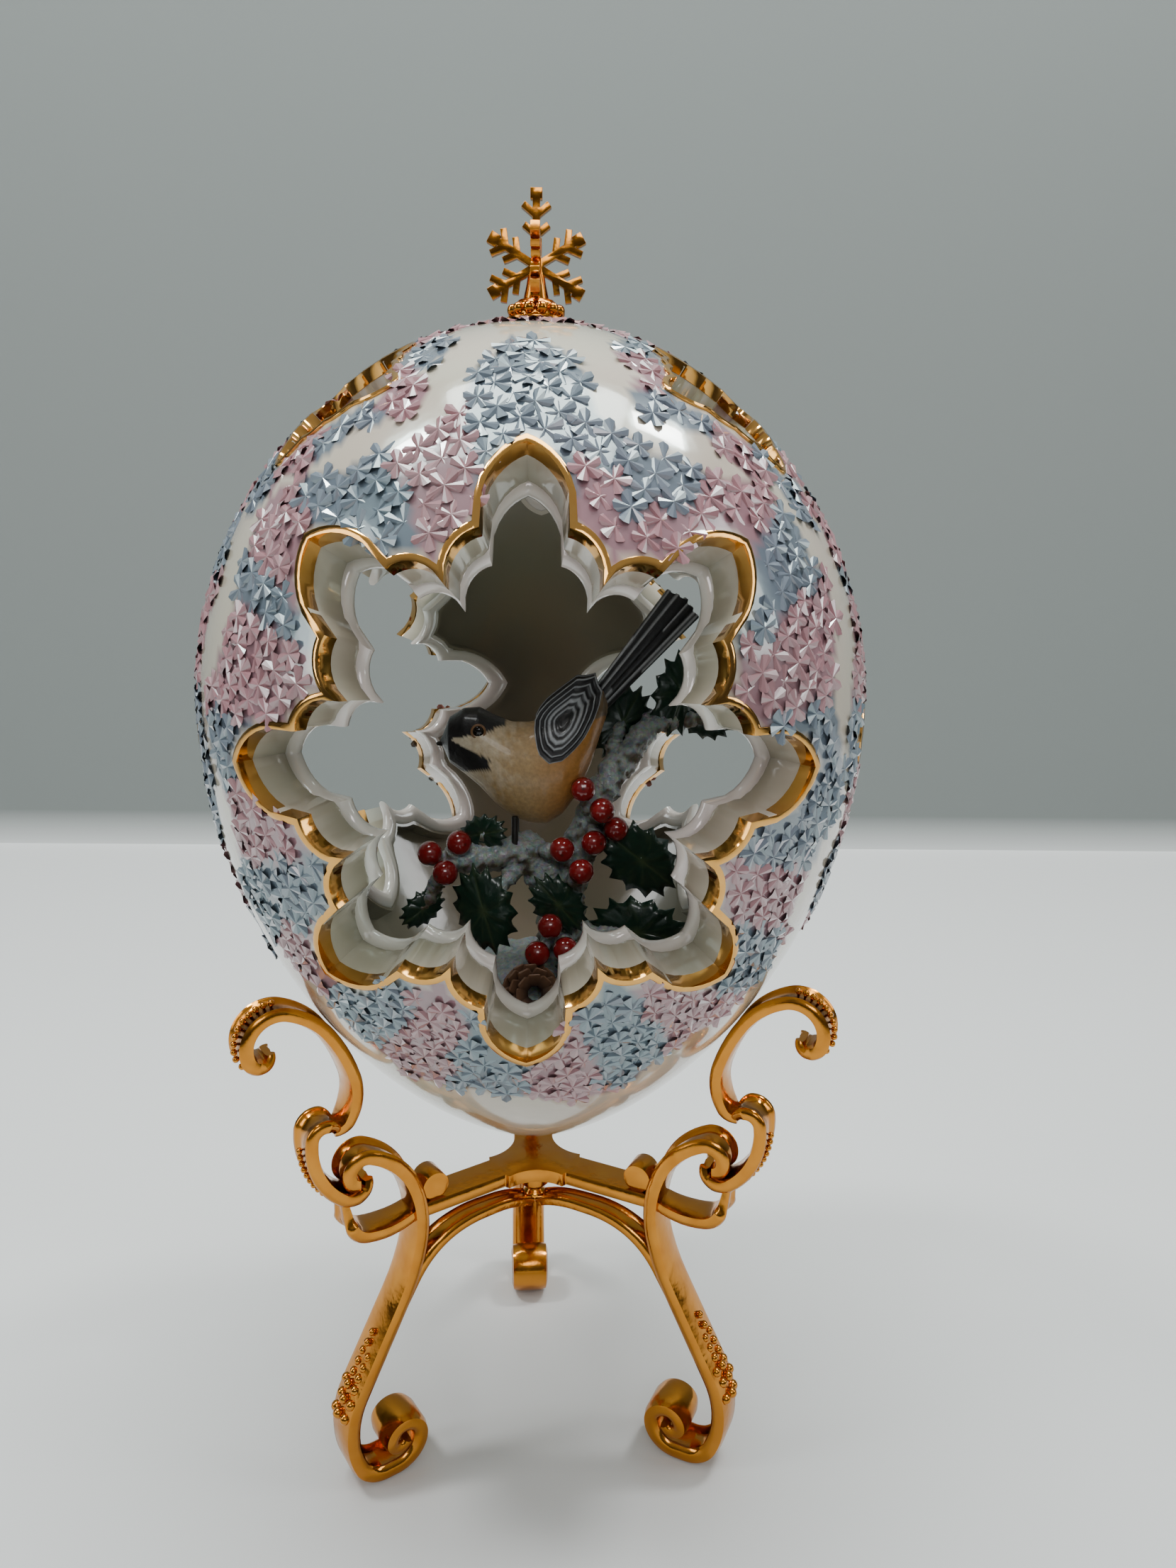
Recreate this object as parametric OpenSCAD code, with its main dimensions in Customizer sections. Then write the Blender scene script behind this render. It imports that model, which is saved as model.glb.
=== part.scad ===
// Porcelain egg with pierced windows, a songbird inside and a snowflake finial,
// standing loose in a gilt stand with three scrolled legs.
// The table is z = 0 and the egg's axis is the z axis. The front window faces -Y.

/* [Egg] */
// Height of the egg without the finial
egg_height = 146.5; // [130:0.5:165]
// Radius of the egg at its widest
egg_radius = 56.8; // [50:0.1:62]
// Height of the widest place above the bottom of the egg
egg_wide_z = 83.5; // [76:0.5:92]
// Radius of the pointed lower end
egg_base_r = 18; // [14:0.5:24]
// Radius of the blunt crown
egg_top_r = 48; // [40:0.5:52]
// Thickness of the porcelain
shell_wall = 4; // [3:0.1:5]

/* [Large windows] */
// Number of large windows round the egg
window_count = 3; // [3:1:3]
// Height of their centre above the bottom of the egg
window_z = 80; // [76:0.5:84]
// Number of lobes of a large window
lobes = 8; // [6:1:8]
// From the centre of the window to the tip of a lobe
window_reach = 44.5; // [40:0.5:46]
// From the centre of the window to the centres of the shoulder curves
shoulder_ring = 27.5; // [24:0.5:29]
// How far a shoulder curve stands to the side of its lobe
shoulder_side = 5; // [4:0.1:6]
// Radius of a shoulder curve
shoulder_r = 6; // [5:0.1:7]
// From the centre of the window to the centres of the pointed arch
arch_ring = 35.5; // [33:0.5:37]
// How far an arch centre stands to the side of its lobe
arch_side = 3.2; // [2.5:0.1:4]
// Width of a window as a share of its height
window_squeeze = 0.94; // [0.9:0.01:1]

/* [Small windows] */
// Steepness of the shell at the centre of a small window, in degrees
crown_window_angle = 49.5; // [46:0.5:52]
// From the centre of a small window to the tip of a lobe
crown_window_reach = 14.5; // [11:0.5:16]
// From the centre to the centres of its shoulder curves
crown_shoulder_ring = 6.2; // [5:0.1:7]
// How far its shoulder curve stands to the side
crown_shoulder_side = 3.2; // [2.5:0.1:4]
// Radius of its shoulder curve
crown_shoulder_r = 3.6; // [3:0.1:4.2]
// From the centre to the centres of its pointed arch
crown_arch_ring = 9.6; // [8:0.1:10.5]
// How far its arch centre stands to the side
crown_arch_side = 2; // [1.5:0.1:2.5]

/* [Window walls] */
// Depth of the wall that turns inward round each large window
flange_depth = 9; // [6:0.5:10]
// Depth of the wall round each small window
crown_flange_depth = 6.5; // [5:0.5:8]
// Thickness of that wall
flange_wall = 2.8; // [2:0.1:3.5]

/* [Finial] */
// Height of the snowflake above its collar
flake_height = 17; // [14:0.5:20]
// Height of the beaded collar
collar_height = 3.6; // [3:0.1:5]
// Radius of the collar
collar_r = 4.6; // [4:0.1:6]
// Diameter of the beads on the collar
collar_bead = 2; // [1.5:0.1:2.4]
// Number of beads on the collar
collar_beads = 12; // [8:1:12]
// Thickness of the arms of the snowflake
flake_arm = 1.5; // [1.2:0.1:2]
// Diameter of the threaded stud
stud_d = 2.5; // [2:0.1:3]

/* [Stand] */
// Turn of the stand about the egg's axis against the front window
stand_turn = 3.7; // [0:0.1:10]
// Width of the legs across the strap
leg_w = 7.2; // [6:0.1:9]
// Thickness of the legs
leg_t = 3; // [2.4:0.1:3.6]
// Width of the scrolls across the strap
scroll_w = 7; // [5.5:0.1:8]
// Thickness of the scrolls
scroll_t = 2.5; // [2:0.1:3]
// Length of the straight middle of a leg, which sets the height of the stand
leg_straight = 18.5; // [12:0.5:28]
// Width of the arms of the spider
arm_w = 6; // [5:0.1:8]
// Thickness of the spider
spider_t = 2.6; // [2:0.1:4]
// Width of the arched braces
brace_w = 5; // [3.5:0.1:6]
// Thickness of the arched braces
brace_t = 2.2; // [1.8:0.1:3]

/* [Figurine] */
// Length of the bird's body from the face to the rump
bird_length = 28.5; // [25:0.5:31]
// Height of the bird's body at the belly
bird_depth = 18.6; // [16:0.2:20]
// Width of the bird's body
bird_width = 15.5; // [13:0.5:17]
// Length of the tail past the rump
tail_length = 24; // [18:0.5:26]
// Height of the snow mound above the inner bottom of the egg
mound_height = 32; // [26:0.5:33]
// Diameter of a berry
berry_d = 4.4; // [3.5:0.1:4.7]
// Length of a holly leaf
leaf_length = 14; // [12:0.5:16]
// Thickness of a holly leaf
leaf_t = 1; // [0.8:0.1:1.4]

/* [Fits] */
// Gap between the loose egg and the scrolls it stands in
cradle_gap = 0.2; // [0.1:0.05:0.4]
// Gap round the finial's stud in the crown
stud_gap = 0.2; // [0.1:0.05:0.4]

/* [Hidden] */
gold = [0.80, 0.50, 0.16];
porcelain = [0.90, 0.88, 0.84];
left_leg = -60;
right_leg = 60;
rear_leg = 180;
round_fn = 48;
// The egg's axis stands this far in front of the middle of the whole object, which is the origin
axis_ahead = 2.9;
module set_down() translate([0, -axis_ahead, 0]) children();

// The windows and the crown's radius are given for an egg of these sizes, and keep their share on another egg
drawn_height = 146.5;
drawn_radius = 56.8;
drawn_wide_z = 83.5;
drawn_top_r = 48;
window_share = min(egg_height / drawn_height, egg_radius / drawn_radius);
crown_h = egg_height - egg_wide_z;
drawn_crown_h = drawn_height - drawn_wide_z;
crown_power = ln(crown_h / egg_radius) / ln(drawn_crown_h / drawn_radius);
crown_r = egg_radius * (egg_top_r / drawn_radius)^crown_power;
function crown_bulge(height, wide_z, radius, top_r) =
  ((height - top_r - wide_z)^2 - (radius - top_r)^2) / (2 * (radius - top_r));

// Egg outline: four arcs that meet smoothly, from the pointed base to the blunt crown
low_bulge = ((egg_wide_z - egg_base_r)^2 - (egg_radius - egg_base_r)^2) / (2 * (egg_radius - egg_base_r));
top_c = egg_height - crown_r;
high_bulge = crown_bulge(egg_height, egg_wide_z, egg_radius, crown_r);
low_r = egg_radius + low_bulge;
high_r = egg_radius + high_bulge;
low_join = egg_base_r + (egg_base_r - egg_wide_z) * egg_base_r / (low_r - egg_base_r);
high_join = top_c + (top_c - egg_wide_z) * crown_r / (high_r - crown_r);

// Centre, in radius and height, of the arc that forms the shell at a height above the egg's bottom
function arc_centre(z) = z < low_join ? [0, egg_base_r] : z < egg_wide_z ? [-low_bulge, egg_wide_z] :
  z < high_join ? [-high_bulge, egg_wide_z] : [0, top_c];
function arc_radius(z) = z < low_join ? egg_base_r : z < egg_wide_z ? low_r :
  z < high_join ? high_r : crown_r;
// Outer radius of the egg and the outward direction of its surface at that height
function egg_r(z) = let (c = arc_centre(z)) c[0] + sqrt(max(0, arc_radius(z)^2 - (z - c[1])^2));
function egg_out(z) = ([egg_r(z), z] - arc_centre(z)) / arc_radius(z);

// Outline of the egg, set in by an inset, as points from the base to the crown
function arc_points(c, r, from, to, n) = [for (i = [0:n])
  let (a = from + (to - from) * i / n) c + r * [cos(a), sin(a)]];
function low_angle() = atan2(egg_base_r - egg_wide_z, low_bulge);
crown_side = sign(egg_radius - crown_r);
function high_angle() = atan2(crown_side * (top_c - egg_wide_z), crown_side * high_bulge);
function egg_outline(inset) = concat(
  arc_points([0, egg_base_r], egg_base_r - inset, -90, low_angle(), 4),
  [for (i = [1:6]) arc_points([-low_bulge, egg_wide_z], low_r - inset, low_angle(), 0, 6)[i]],
  [for (i = [1:5]) arc_points([-high_bulge, egg_wide_z], high_r - inset, 0, high_angle(), 5)[i]],
  [for (i = [1:4]) arc_points([0, top_c], crown_r - inset, high_angle(), 90, 4)[i]]);
module egg_solid(inset, fn) rotate_extrude($fn = fn) polygon(egg_outline(inset));
// Fall of the crown per millimetre of radius, near the pole
crown_slope = tan((90 - high_angle()) / 8);

// Cradle: the egg sits where its side has the slope of the scrolls, so the legs' ring follows the egg's size
cradle_slope = 55.9;
cradle_r = low_r * sin(cradle_slope) - low_bulge + (cradle_gap + scroll_t / 2) * sin(cradle_slope);
cradle_z = egg_wide_z - low_r * cos(cradle_slope) - (cradle_gap + scroll_t / 2) * cos(cradle_slope);
leg_lean = 118;
ring_shift = cradle_r - 42.04;
rise_shift = (leg_straight - 18.5) * sin(leg_lean);
egg_rise = 92.5 + rise_shift - cradle_z;
foot_ring = 33.6 - (leg_straight - 18.5) * cos(leg_lean);
spider_z = 53.5 + rise_shift;

// Distance from the origin, at angle a, to the far side of a circle
function far_side(a, c, r) = let (b = c[0] * cos(a) + c[1] * sin(a),
  q = r * r - (c * c - b * b)) q < 0 ? 0 : b + sqrt(q);
// Edge of one lobe at angle a from its middle: two shoulders and a pointed arch, made larger by grow
function lobe_edge(a, ring, side, r, arch, off, reach, grow) =
  let (ar = norm([reach - arch, off]) + grow)
  max(far_side(a, [ring, side], r + grow), far_side(a, [ring, -side], r + grow),
    min(far_side(a, [arch, off], ar), far_side(a, [arch, -off], ar)));
// Outline of a window with n lobes
function window_outline(n, steps, ring, side, r, arch, off, reach, grow, squeeze) =
  [for (l = [0:n - 1]) each [for (h = concat([for (i = [len(steps) - 1:-1:0]) -steps[i]], [0], steps,
    [180 / n]))
    let (d = lobe_edge(h, ring, side, r, arch, off, reach, grow), t = 90 + 360 / n * l + h)
    [d * cos(t) * squeeze, d * sin(t)]]];
// Point of a window's outline carried onto the egg and moved out along the surface's own direction
function placed(p, z, out) = let (r = egg_r(z), n = egg_out(z), x = min(abs(p[0]), r - 1) * sign(p[0]),
  y = sqrt(r * r - x * x))
  [x + out * n[0] * x / r, -y - out * n[0] * y / r, z + out * n[1]];
large_z = window_z * (egg_height / drawn_height);
function large_height(v) = large_z + v;
drawn_crown_bow = drawn_radius + crown_bulge(drawn_height, drawn_wide_z, drawn_radius, drawn_top_r);
crown_bow = drawn_crown_bow * (crown_h / drawn_crown_h);
function small_height(v) = egg_wide_z + crown_bow * sin(crown_window_angle + v / crown_bow * 180 / PI);
// Ruled cutter between two copies of an outline, one outside and one inside the shell
module ruled_cutter(outside, inside, outer_tip, inner_tip) {
  n = len(outside);
  polyhedron(concat(outside, inside, [outer_tip, inner_tip]), concat(
    [for (i = [0:n - 1]) [(i + 1) % n, i, 2 * n]],
    [for (i = [0:n - 1]) [n + i, n + (i + 1) % n, 2 * n + 1]],
    [for (i = [0:n - 1]) [n + i, i, (i + 1) % n]],
    [for (i = [0:n - 1]) [n + i, (i + 1) % n, n + (i + 1) % n]]));
}
large_steps = [3, 6.5, 9.7, 15];
small_steps = [10, 20, 31];
module large_cutter(grow, above, below) {
  q = window_share * window_outline(lobes, large_steps, shoulder_ring, shoulder_side, shoulder_r,
    arch_ring, arch_side, window_reach, grow / window_share, window_squeeze);
  ruled_cutter([for (p = q) placed(p, large_height(p[1]), above)],
    [for (p = q) placed(p, large_height(p[1]), -below)],
    [0, -egg_radius - above - 4, large_z], [0, below + 8 - egg_radius, large_z]);
}
module small_cutter(grow, above, below) {
  q = window_share * window_outline(4, small_steps, crown_shoulder_ring, crown_shoulder_side,
    crown_shoulder_r, crown_arch_ring, crown_arch_side, crown_window_reach, grow / window_share,
    window_squeeze);
  z = small_height(0);
  ruled_cutter([for (p = q) placed(p, small_height(p[1]), above)],
    [for (p = q) placed(p, small_height(p[1]), -below)],
    placed([0, 0], z, above + 3), placed([0, 0], z, -below - 2));
}
module large_windows(grow, above, below)
  for (i = [0:window_count - 1]) rotate(i * 360 / window_count) large_cutter(grow, above, below);
module small_windows(grow, above, below)
  for (i = [0:window_count - 1]) rotate((i + 0.5) * 360 / window_count) small_cutter(grow, above, below);

// Porcelain shell: even wall, an inward wall round each window and a hole for the finial's stud
module egg_shell() set_down()
  color(porcelain) translate([0, 0, egg_rise]) resize([0, 0, egg_height]) difference() {
  union() {
    difference() {
      egg_solid(0, 48);
      egg_solid(shell_wall, 30);
    }
    difference() {
      intersection() {
        egg_solid(shell_wall / 2, 30);
        large_windows(flange_wall, 4, flange_depth + 6);
      }
      egg_solid(flange_depth, 30);
    }
    difference() {
      intersection() {
        egg_solid(shell_wall / 2, 30);
        small_windows(flange_wall, 3, crown_flange_depth + 5);
      }
      egg_solid(crown_flange_depth, 30);
    }
  }
  large_windows(0, 5, flange_depth + 4);
  small_windows(0, 4, crown_flange_depth + 3);
  translate([0, 0, egg_height - 3 * shell_wall])
    cylinder(d = stud_d + 2 * stud_gap, h = 4 * shell_wall, $fn = 24);
}

// Finial
crown_z = egg_rise + egg_height;
module finial_collar() set_down() color(gold) translate([0, 0, crown_z]) difference() {
  union() {
    rotate_extrude($fn = round_fn) polygon([[stud_d / 2, -crown_slope * stud_d / 2 - 0.05],
      [collar_r + 0.6, -crown_slope * (collar_r + 0.6) - 0.05], [collar_r + 0.6, 0.7],
      [collar_r - 0.4, 1], [collar_r - 1, collar_height - 0.6], [collar_r - 1.6, collar_height],
      [stud_d / 2, collar_height]]);
    for (i = [0:collar_beads - 1]) rotate((i + 0.5) * 360 / collar_beads)
      translate([collar_r - 0.7, 0, collar_height * 0.55]) sphere(d = collar_bead, $fn = 24);
  }
  translate([0, 0, -1]) cylinder(d = stud_d, h = collar_height + 2, $fn = 24);
}
// One arm of the flake, along +X, with two pairs of twigs swept outward and a blunt knob at its end
flake_centre = flake_height * 0.31;
flake_long = flake_height - flake_centre;
flake_short = flake_height * 0.52;
module flake_twig(at, long) translate([at, 0]) for (s = [-1, 1]) rotate(s * 52)
  translate([0, -flake_arm * 0.35]) square([long, flake_arm * 0.7]);
module flake_arm_plan(reach) {
  translate([0, -flake_arm * 0.4]) square([reach, flake_arm * 0.8]);
  translate([reach - flake_arm * 1.1, -flake_arm * 0.65]) square([flake_arm * 1.1, flake_arm * 1.3]);
  flake_twig(reach * 0.4, flake_height * 0.15);
  flake_twig(reach * 0.65, flake_height * 0.16);
}
module flake_plate(turns) rotate([90, 0, 0]) linear_extrude(flake_arm, center = true)
  for (t = turns) rotate(90 + t) flake_arm_plan(t == 0 ? flake_long : flake_short);
module finial_snowflake() set_down() color(gold) translate([0, 0, crown_z + collar_height + flake_centre]) {
  flake_plate([0, 60, 120, 240, 300]);
  rotate(90) flake_plate([60, 120, 240, 300]);
  translate([0, 0, -flake_centre])
    cylinder(r1 = collar_r - 2.4, r2 = flake_arm * 0.7, h = flake_centre, $fn = 24);
}
inner_crown_z = crown_z - shell_wall - crown_slope * stud_d * 1.4;
module finial_stud() set_down() color("silver") translate([0, 0, inner_crown_z - 5.5])
  cylinder(d = stud_d, h = crown_z + collar_height + 2.5 - inner_crown_z + 5.5, $fn = 24);
module finial_washer() set_down() color("silver") translate([0, 0, inner_crown_z - 0.8]) difference() {
  cylinder(d = stud_d * 2.8, h = 0.8, $fn = round_fn);
  translate([0, 0, -1]) cylinder(d = stud_d, h = 3, $fn = 24);
}
module finial_nut() set_down()
  color("silver") translate([0, 0, inner_crown_z - 0.8 - stud_d * 0.8]) difference() {
  cylinder(d = stud_d * 2, h = stud_d * 0.8, $fn = 6);
  translate([0, 0, -1]) cylinder(d = stud_d, h = stud_d + 2, $fn = 24);
}

// Scroll drawing: a pen walks through arcs [radius, turn] or straights [length, 0] in a leg's upright plane
function pen(p, h, a, t) = a[1] == 0 ? [p[0] + t * a[0] * cos(h), p[1] + t * a[0] * sin(h), h] :
  let (s = sign(a[1]), k = h + t * a[1])
  [p[0] + s * a[0] * (sin(k) - sin(h)), p[1] - s * a[0] * (cos(k) - cos(h)), k];
function walk(p, h, arcs, step, i = 0) = i == len(arcs) ? [] :
  let (a = arcs[i], n = a[1] == 0 ? 1 : max(1, ceil(abs(a[1]) / step)), e = pen(p, h, a, 1))
  concat([for (k = [1:n]) pen(p, h, a, k / n)], walk([e[0], e[1]], e[2], arcs, step, i + 1));
function path(p, h, arcs, step) = concat([[p[0], p[1], h]], walk(p, h, arcs, step));
// Same path walked the other way
function turned(q) = [for (i = [len(q) - 1:-1:0]) [q[i][0], q[i][1], q[i][2] + 180]];
// Section of a cast strap: flat inside, with a raised rib along both edges of the outside
function strap(w, t) = [[-w / 2, -t * 0.2], [-w * 0.42, t / 2], [-w * 0.24, t * 0.24], [w * 0.24, t * 0.24],
  [w * 0.42, t / 2], [w / 2, -t * 0.2], [w * 0.38, -t / 2], [-w * 0.38, -t / 2]];
// Sweep of a strap along a path, from width w[0] to width w[1]; the ends shrink to the shares a and b
module sweep(q, w, t, a, b, side = 1) {
  n = len(q);
  m = len(strap(1, t));
  k = [for (i = [0:n - 1]) min(1, a + (1 - a) * i / (n * 0.18), b + (1 - b) * (n - 1 - i) / (n * 0.3))];
  pts = [for (i = [0:n - 1]) for (p = strap(w[0] + (w[1] - w[0]) * i / (n - 1), t))
    [q[i][0] - side * p[1] * k[i] * sin(q[i][2]), p[0] * k[i], q[i][1] + side * p[1] * k[i] * cos(q[i][2])]];
  wind = [for (i = [0:n - 2]) for (j = [0:m - 1]) each
    [[i * m + j, i * m + (j + 1) % m, (i + 1) * m + j],
      [i * m + (j + 1) % m, (i + 1) * m + (j + 1) % m, (i + 1) * m + j]]];
  caps = [[for (j = [m - 1:-1:0]) j], [for (j = [0:m - 1]) (n - 1) * m + j]];
  faces = concat(wind, caps);
  polyhedron(pts, side > 0 ? faces : [for (f = faces) [for (j = [len(f) - 1:-1:0]) f[j]]]);
}
// Places a drawing on one leg; lifted says whether it goes up with a longer leg
module at_leg(turn, lifted = 1) rotate(turn + stand_turn - 90)
  translate([ring_shift, 0, lifted * rise_shift]) children();

// Upper scroll: lies along the egg at the cradle point and rolls outward at both ends
cradle_p = [42.04, 92.5];
upper_top = [[14.4, -35], [5.1, -128], [2.4, -82], [1.4, -90]];
upper_low = [[31, 18], [10.5, 48], [2.6, 60]];
module upper_scroll(turn) set_down() color(gold) at_leg(turn)
  sweep(concat(turned(path(cradle_p, cradle_slope + 180, upper_low, 18)),
    walk(cradle_p, cradle_slope, upper_top, 20)),
    [scroll_w * 0.9, scroll_w * 1.05], scroll_t, 0.7, 0.6);

// Middle scroll: arches over the lower end of the upper scroll and rolls inward at its foot
middle_p = [41.1, 74.2];
module middle_scroll(turn) set_down() color(gold) at_leg(turn)
  sweep(path(middle_p, 77, [[2.4, -160], [14, -58], [3.3, -80], [2, -60]], 20),
    [scroll_w, scroll_w * 1.05], scroll_t, 0.7, 0.7);

// Leg: volute at the top, long S and a foot rolled inward
leg_foot = [foot_ring, leg_t / 2];
leg_up = [[1, 0], [5.5, 66], [17, 52], [leg_straight, 0], [41, -16], [22, -34], [15, -43], [2.9, -130],
  [2, -70]];
leg_roll = [[1, 0], [5.2, -90], [3.4, -90], [2.7, -90], [2, -90], [1.4, -60]];
module leg(turn) set_down() color(gold) at_leg(turn, 0)
  sweep(concat(turned(path(leg_foot, 180, leg_roll, 24)), walk(leg_foot, 0, leg_up, 20)),
    [leg_w * 1.25, leg_w * 0.9], leg_t, 0.8, 0.9);

// Leaf bracket from the outside of the leg out to the foot of the middle scroll
module leaf(turn) set_down() color(gold) at_leg(turn)
  sweep(path([27.2, 52.8], -20, [[16, 32], [4.6, 70], [4.6, 0]], 15),
    [scroll_w * 0.9, scroll_w * 1.1], scroll_t, 0.9, 0.5, -1);

// Arched brace from under the hub to the inside of the leg
module brace(turn) set_down() color(gold) translate([0, 0, rise_shift]) rotate(turn + stand_turn - 90)
  sweep(path([1.4, 45.6], 24, [[20, -24], [3 + ring_shift, 0], [20, -16], [16, -44], [6.5, 0]], 12),
    [brace_w * 0.8, brace_w * 1.3], brace_t, 1, 0.9);

// Spider: hub plate with hollow sides, three arms and an upright roll at the end of each arm
arm_end = 26.1 - leg_t / 2 + 0.5 + ring_shift;
module spider_plan() difference() {
  union() {
    circle(r = 9, $fn = round_fn);
    for (a = [left_leg, right_leg, rear_leg]) rotate(a + stand_turn - 90) translate([0, -arm_w / 2])
      square([arm_end, arm_w]);
  }
  for (a = [left_leg, right_leg, rear_leg]) rotate(a + stand_turn - 90 + 60)
    translate([13.2, 0]) circle(r = 7.6, $fn = round_fn);
}
module stand_spider() set_down() color(gold) {
  translate([0, 0, spider_z - spider_t / 2]) linear_extrude(spider_t) spider_plan();
  for (a = [left_leg, right_leg, rear_leg]) rotate(a + stand_turn - 90) translate([arm_end - 2.3, 0,
    spider_z + spider_t / 2 + 2.4])
    rotate([90, 0, 0]) cylinder(r = 2.6, h = arm_w * 0.8, center = true, $fn = 24);
}
module spider_boss() set_down()
  color(gold) translate([0, 0, spider_z - spider_t / 2 - 7]) rotate_extrude($fn = round_fn)
  polygon([[0, 0], [1.4, 0], [2.2, 0.8], [2.2, 1.8], [1.5, 2.6], [3, 4], [3, 7], [0, 7]]);

// Snow mound in the bottom of the egg
inner_floor = egg_rise + shell_wall;
mound_top = inner_floor + mound_height;
module snow_base() set_down() color("white") intersection() {
  translate([0, 0, egg_rise]) rotate_extrude($fn = round_fn) polygon(egg_outline(shell_wall + 0.05));
  union() {
    translate([0, 0, mound_top - 32]) sphere(r = 32, $fn = round_fn);
    translate([-9, -6, mound_top - 13]) sphere(r = 12, $fn = round_fn);
    translate([10, 3, mound_top - 12]) sphere(r = 12, $fn = round_fn);
    translate([0, 0, inner_floor - 1]) cylinder(r = 40, h = mound_height * 0.5, $fn = round_fn);
  }
}

// Bird: sections across its length, each with a place along it, a lower and an upper height, as shares
bird_at = [-2.2, -1, egg_rise + 70.5];
bird_sections = [[-0.5, 0.74, 0.88], [-0.46, 0.6, 1.04], [-0.37, 0.5, 1.13], [-0.27, 0.37, 1.14], [-0.17,
  0.2, 1.06],
  [-0.07, 0.08, 1], [0.04, 0.01, 1], [0.15, 0, 1.04], [0.25, 0.1, 1.12], [0.35, 0.31, 1.21], [0.43, 0.6,
    1.29], [0.5, 0.95, 1.33]];
function bird_ring(s) = let (lo = s[1] * bird_depth, hi = s[2] * bird_depth, c = (lo + hi) / 2,
  r = (hi - lo) / 2)
  [for (j = [0:13]) let (a = j * 360 / 14) [s[0] * bird_length,
    r * sin(a) * bird_width / bird_depth * 0.95, c + r * cos(a) - bird_depth / 2]];
module bird_body() set_down() color([0.80, 0.62, 0.42]) translate(bird_at) {
  n = len(bird_sections);
  polyhedron([for (s = bird_sections) each bird_ring(s)], concat(
    [for (i = [0:n - 2]) for (j = [0:13]) each [[i * 14 + j, i * 14 + (j + 1) % 14, (i + 1) * 14 + j],
      [i * 14 + (j + 1) % 14, (i + 1) * 14 + (j + 1) % 14, (i + 1) * 14 + j]]],
    [[for (j = [13:-1:0]) j]], [[for (j = [0:13]) (n - 1) * 14 + j]]));
}
// Folded wings, one on each side of the back
module wing() hull() {
  translate([0.02 * bird_length, 0, 0.52 * bird_depth]) scale([1, 0.5, 1]) sphere(r = 2, $fn = 12);
  translate([0.46 * bird_length, 2.4, 0.86 * bird_depth]) scale([1, 0.5, 1]) sphere(r = 1.2, $fn = 8);
  translate([0.16 * bird_length, -0.6, 0.14 * bird_depth]) scale([1, 0.5, 1]) sphere(r = 1.2, $fn = 8);
}
module bird_wings() set_down() color([0.15, 0.15, 0.17]) translate(bird_at) for (s = [-1, 1]) scale([1, s, 1])
  translate([0, bird_width * 0.44, -bird_depth * 0.02]) rotate([8, 0, 0]) mirror([0, 1, 0]) wing();
// Tail: flat fan that widens to its end
module bird_tail() set_down()
  color([0.12, 0.12, 0.14]) translate(bird_at + [bird_length * 0.44, 0, bird_depth * 0.66])
  rotate([90, 0, 0]) rotate(50) linear_extrude(1.6, center = true)
  polygon([[-1, -1.6], [tail_length, -3.6], [tail_length + 1.6, -1.2], [tail_length, 3.4], [-1, 1.6]]);
module bird_beak() set_down()
  color([0.10, 0.10, 0.10]) translate(bird_at + [-bird_length * 0.5 + 0.4, 0, bird_depth * 0.31])
  rotate([0, -96, 0]) cylinder(r1 = 1.2, r2 = 0.3, h = 3.6, $fn = 24);
module bird_legs() set_down() color([0.35, 0.28, 0.24]) for (s = [-1, 1])
  translate([-3.5, s * 2.6 - 2.5, egg_rise + 57]) cylinder(r = 0.6, h = 6.4, $fn = 16);

// Branch: tapered limbs with rounded ends, and thin twigs to the berries and leaves
module twig(a, b, ra, rb) {
  d = b - a;
  translate(a) rotate([0, acos(d[2] / norm(d)), atan2(d[1], d[0])]) cylinder(r1 = ra, r2 = rb,
    h = norm(d), $fn = 16);
}
module limb(a, b, ra, rb) {
  twig(a, b, ra, rb);
  translate(b) sphere(r = rb, $fn = 16);
}
// Places on the branch, measured from the bottom of the egg
stem_foot = [5, -2, 24];
fork = [5, -3, 48];
perch = [-1, -3, 56.5];
left_tip = [-15, -6.5, 55.5];
right_knee = [12.6, 0, 68];
right_tip = [21, 4, 78.5];
berry_stem = [10.5, -2, 62];
low_stem = [4.6, -3.5, 41];
berries = [[[8.6, -7.5, 69], berry_stem], [[12, -8.2, 65.4], berry_stem], [[14.6, -6, 61.4], berry_stem],
  [[5, -9, 58.4], perch], [[10.6, -8, 59.4], berry_stem], [[8.4, -11, 55], fork],
  [[-18.4, -8, 57.2], left_tip], [[-13.2, -8, 59.2], left_tip], [[-15.4, -11, 54.6], left_tip],
  [[3, -12, 45.2], low_stem], [[5.8, -13.4, 41.4], low_stem], [[0.8, -13.4, 40.6], low_stem], [[-9, -12,
    37], [-6, -8, 30]]];
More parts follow.
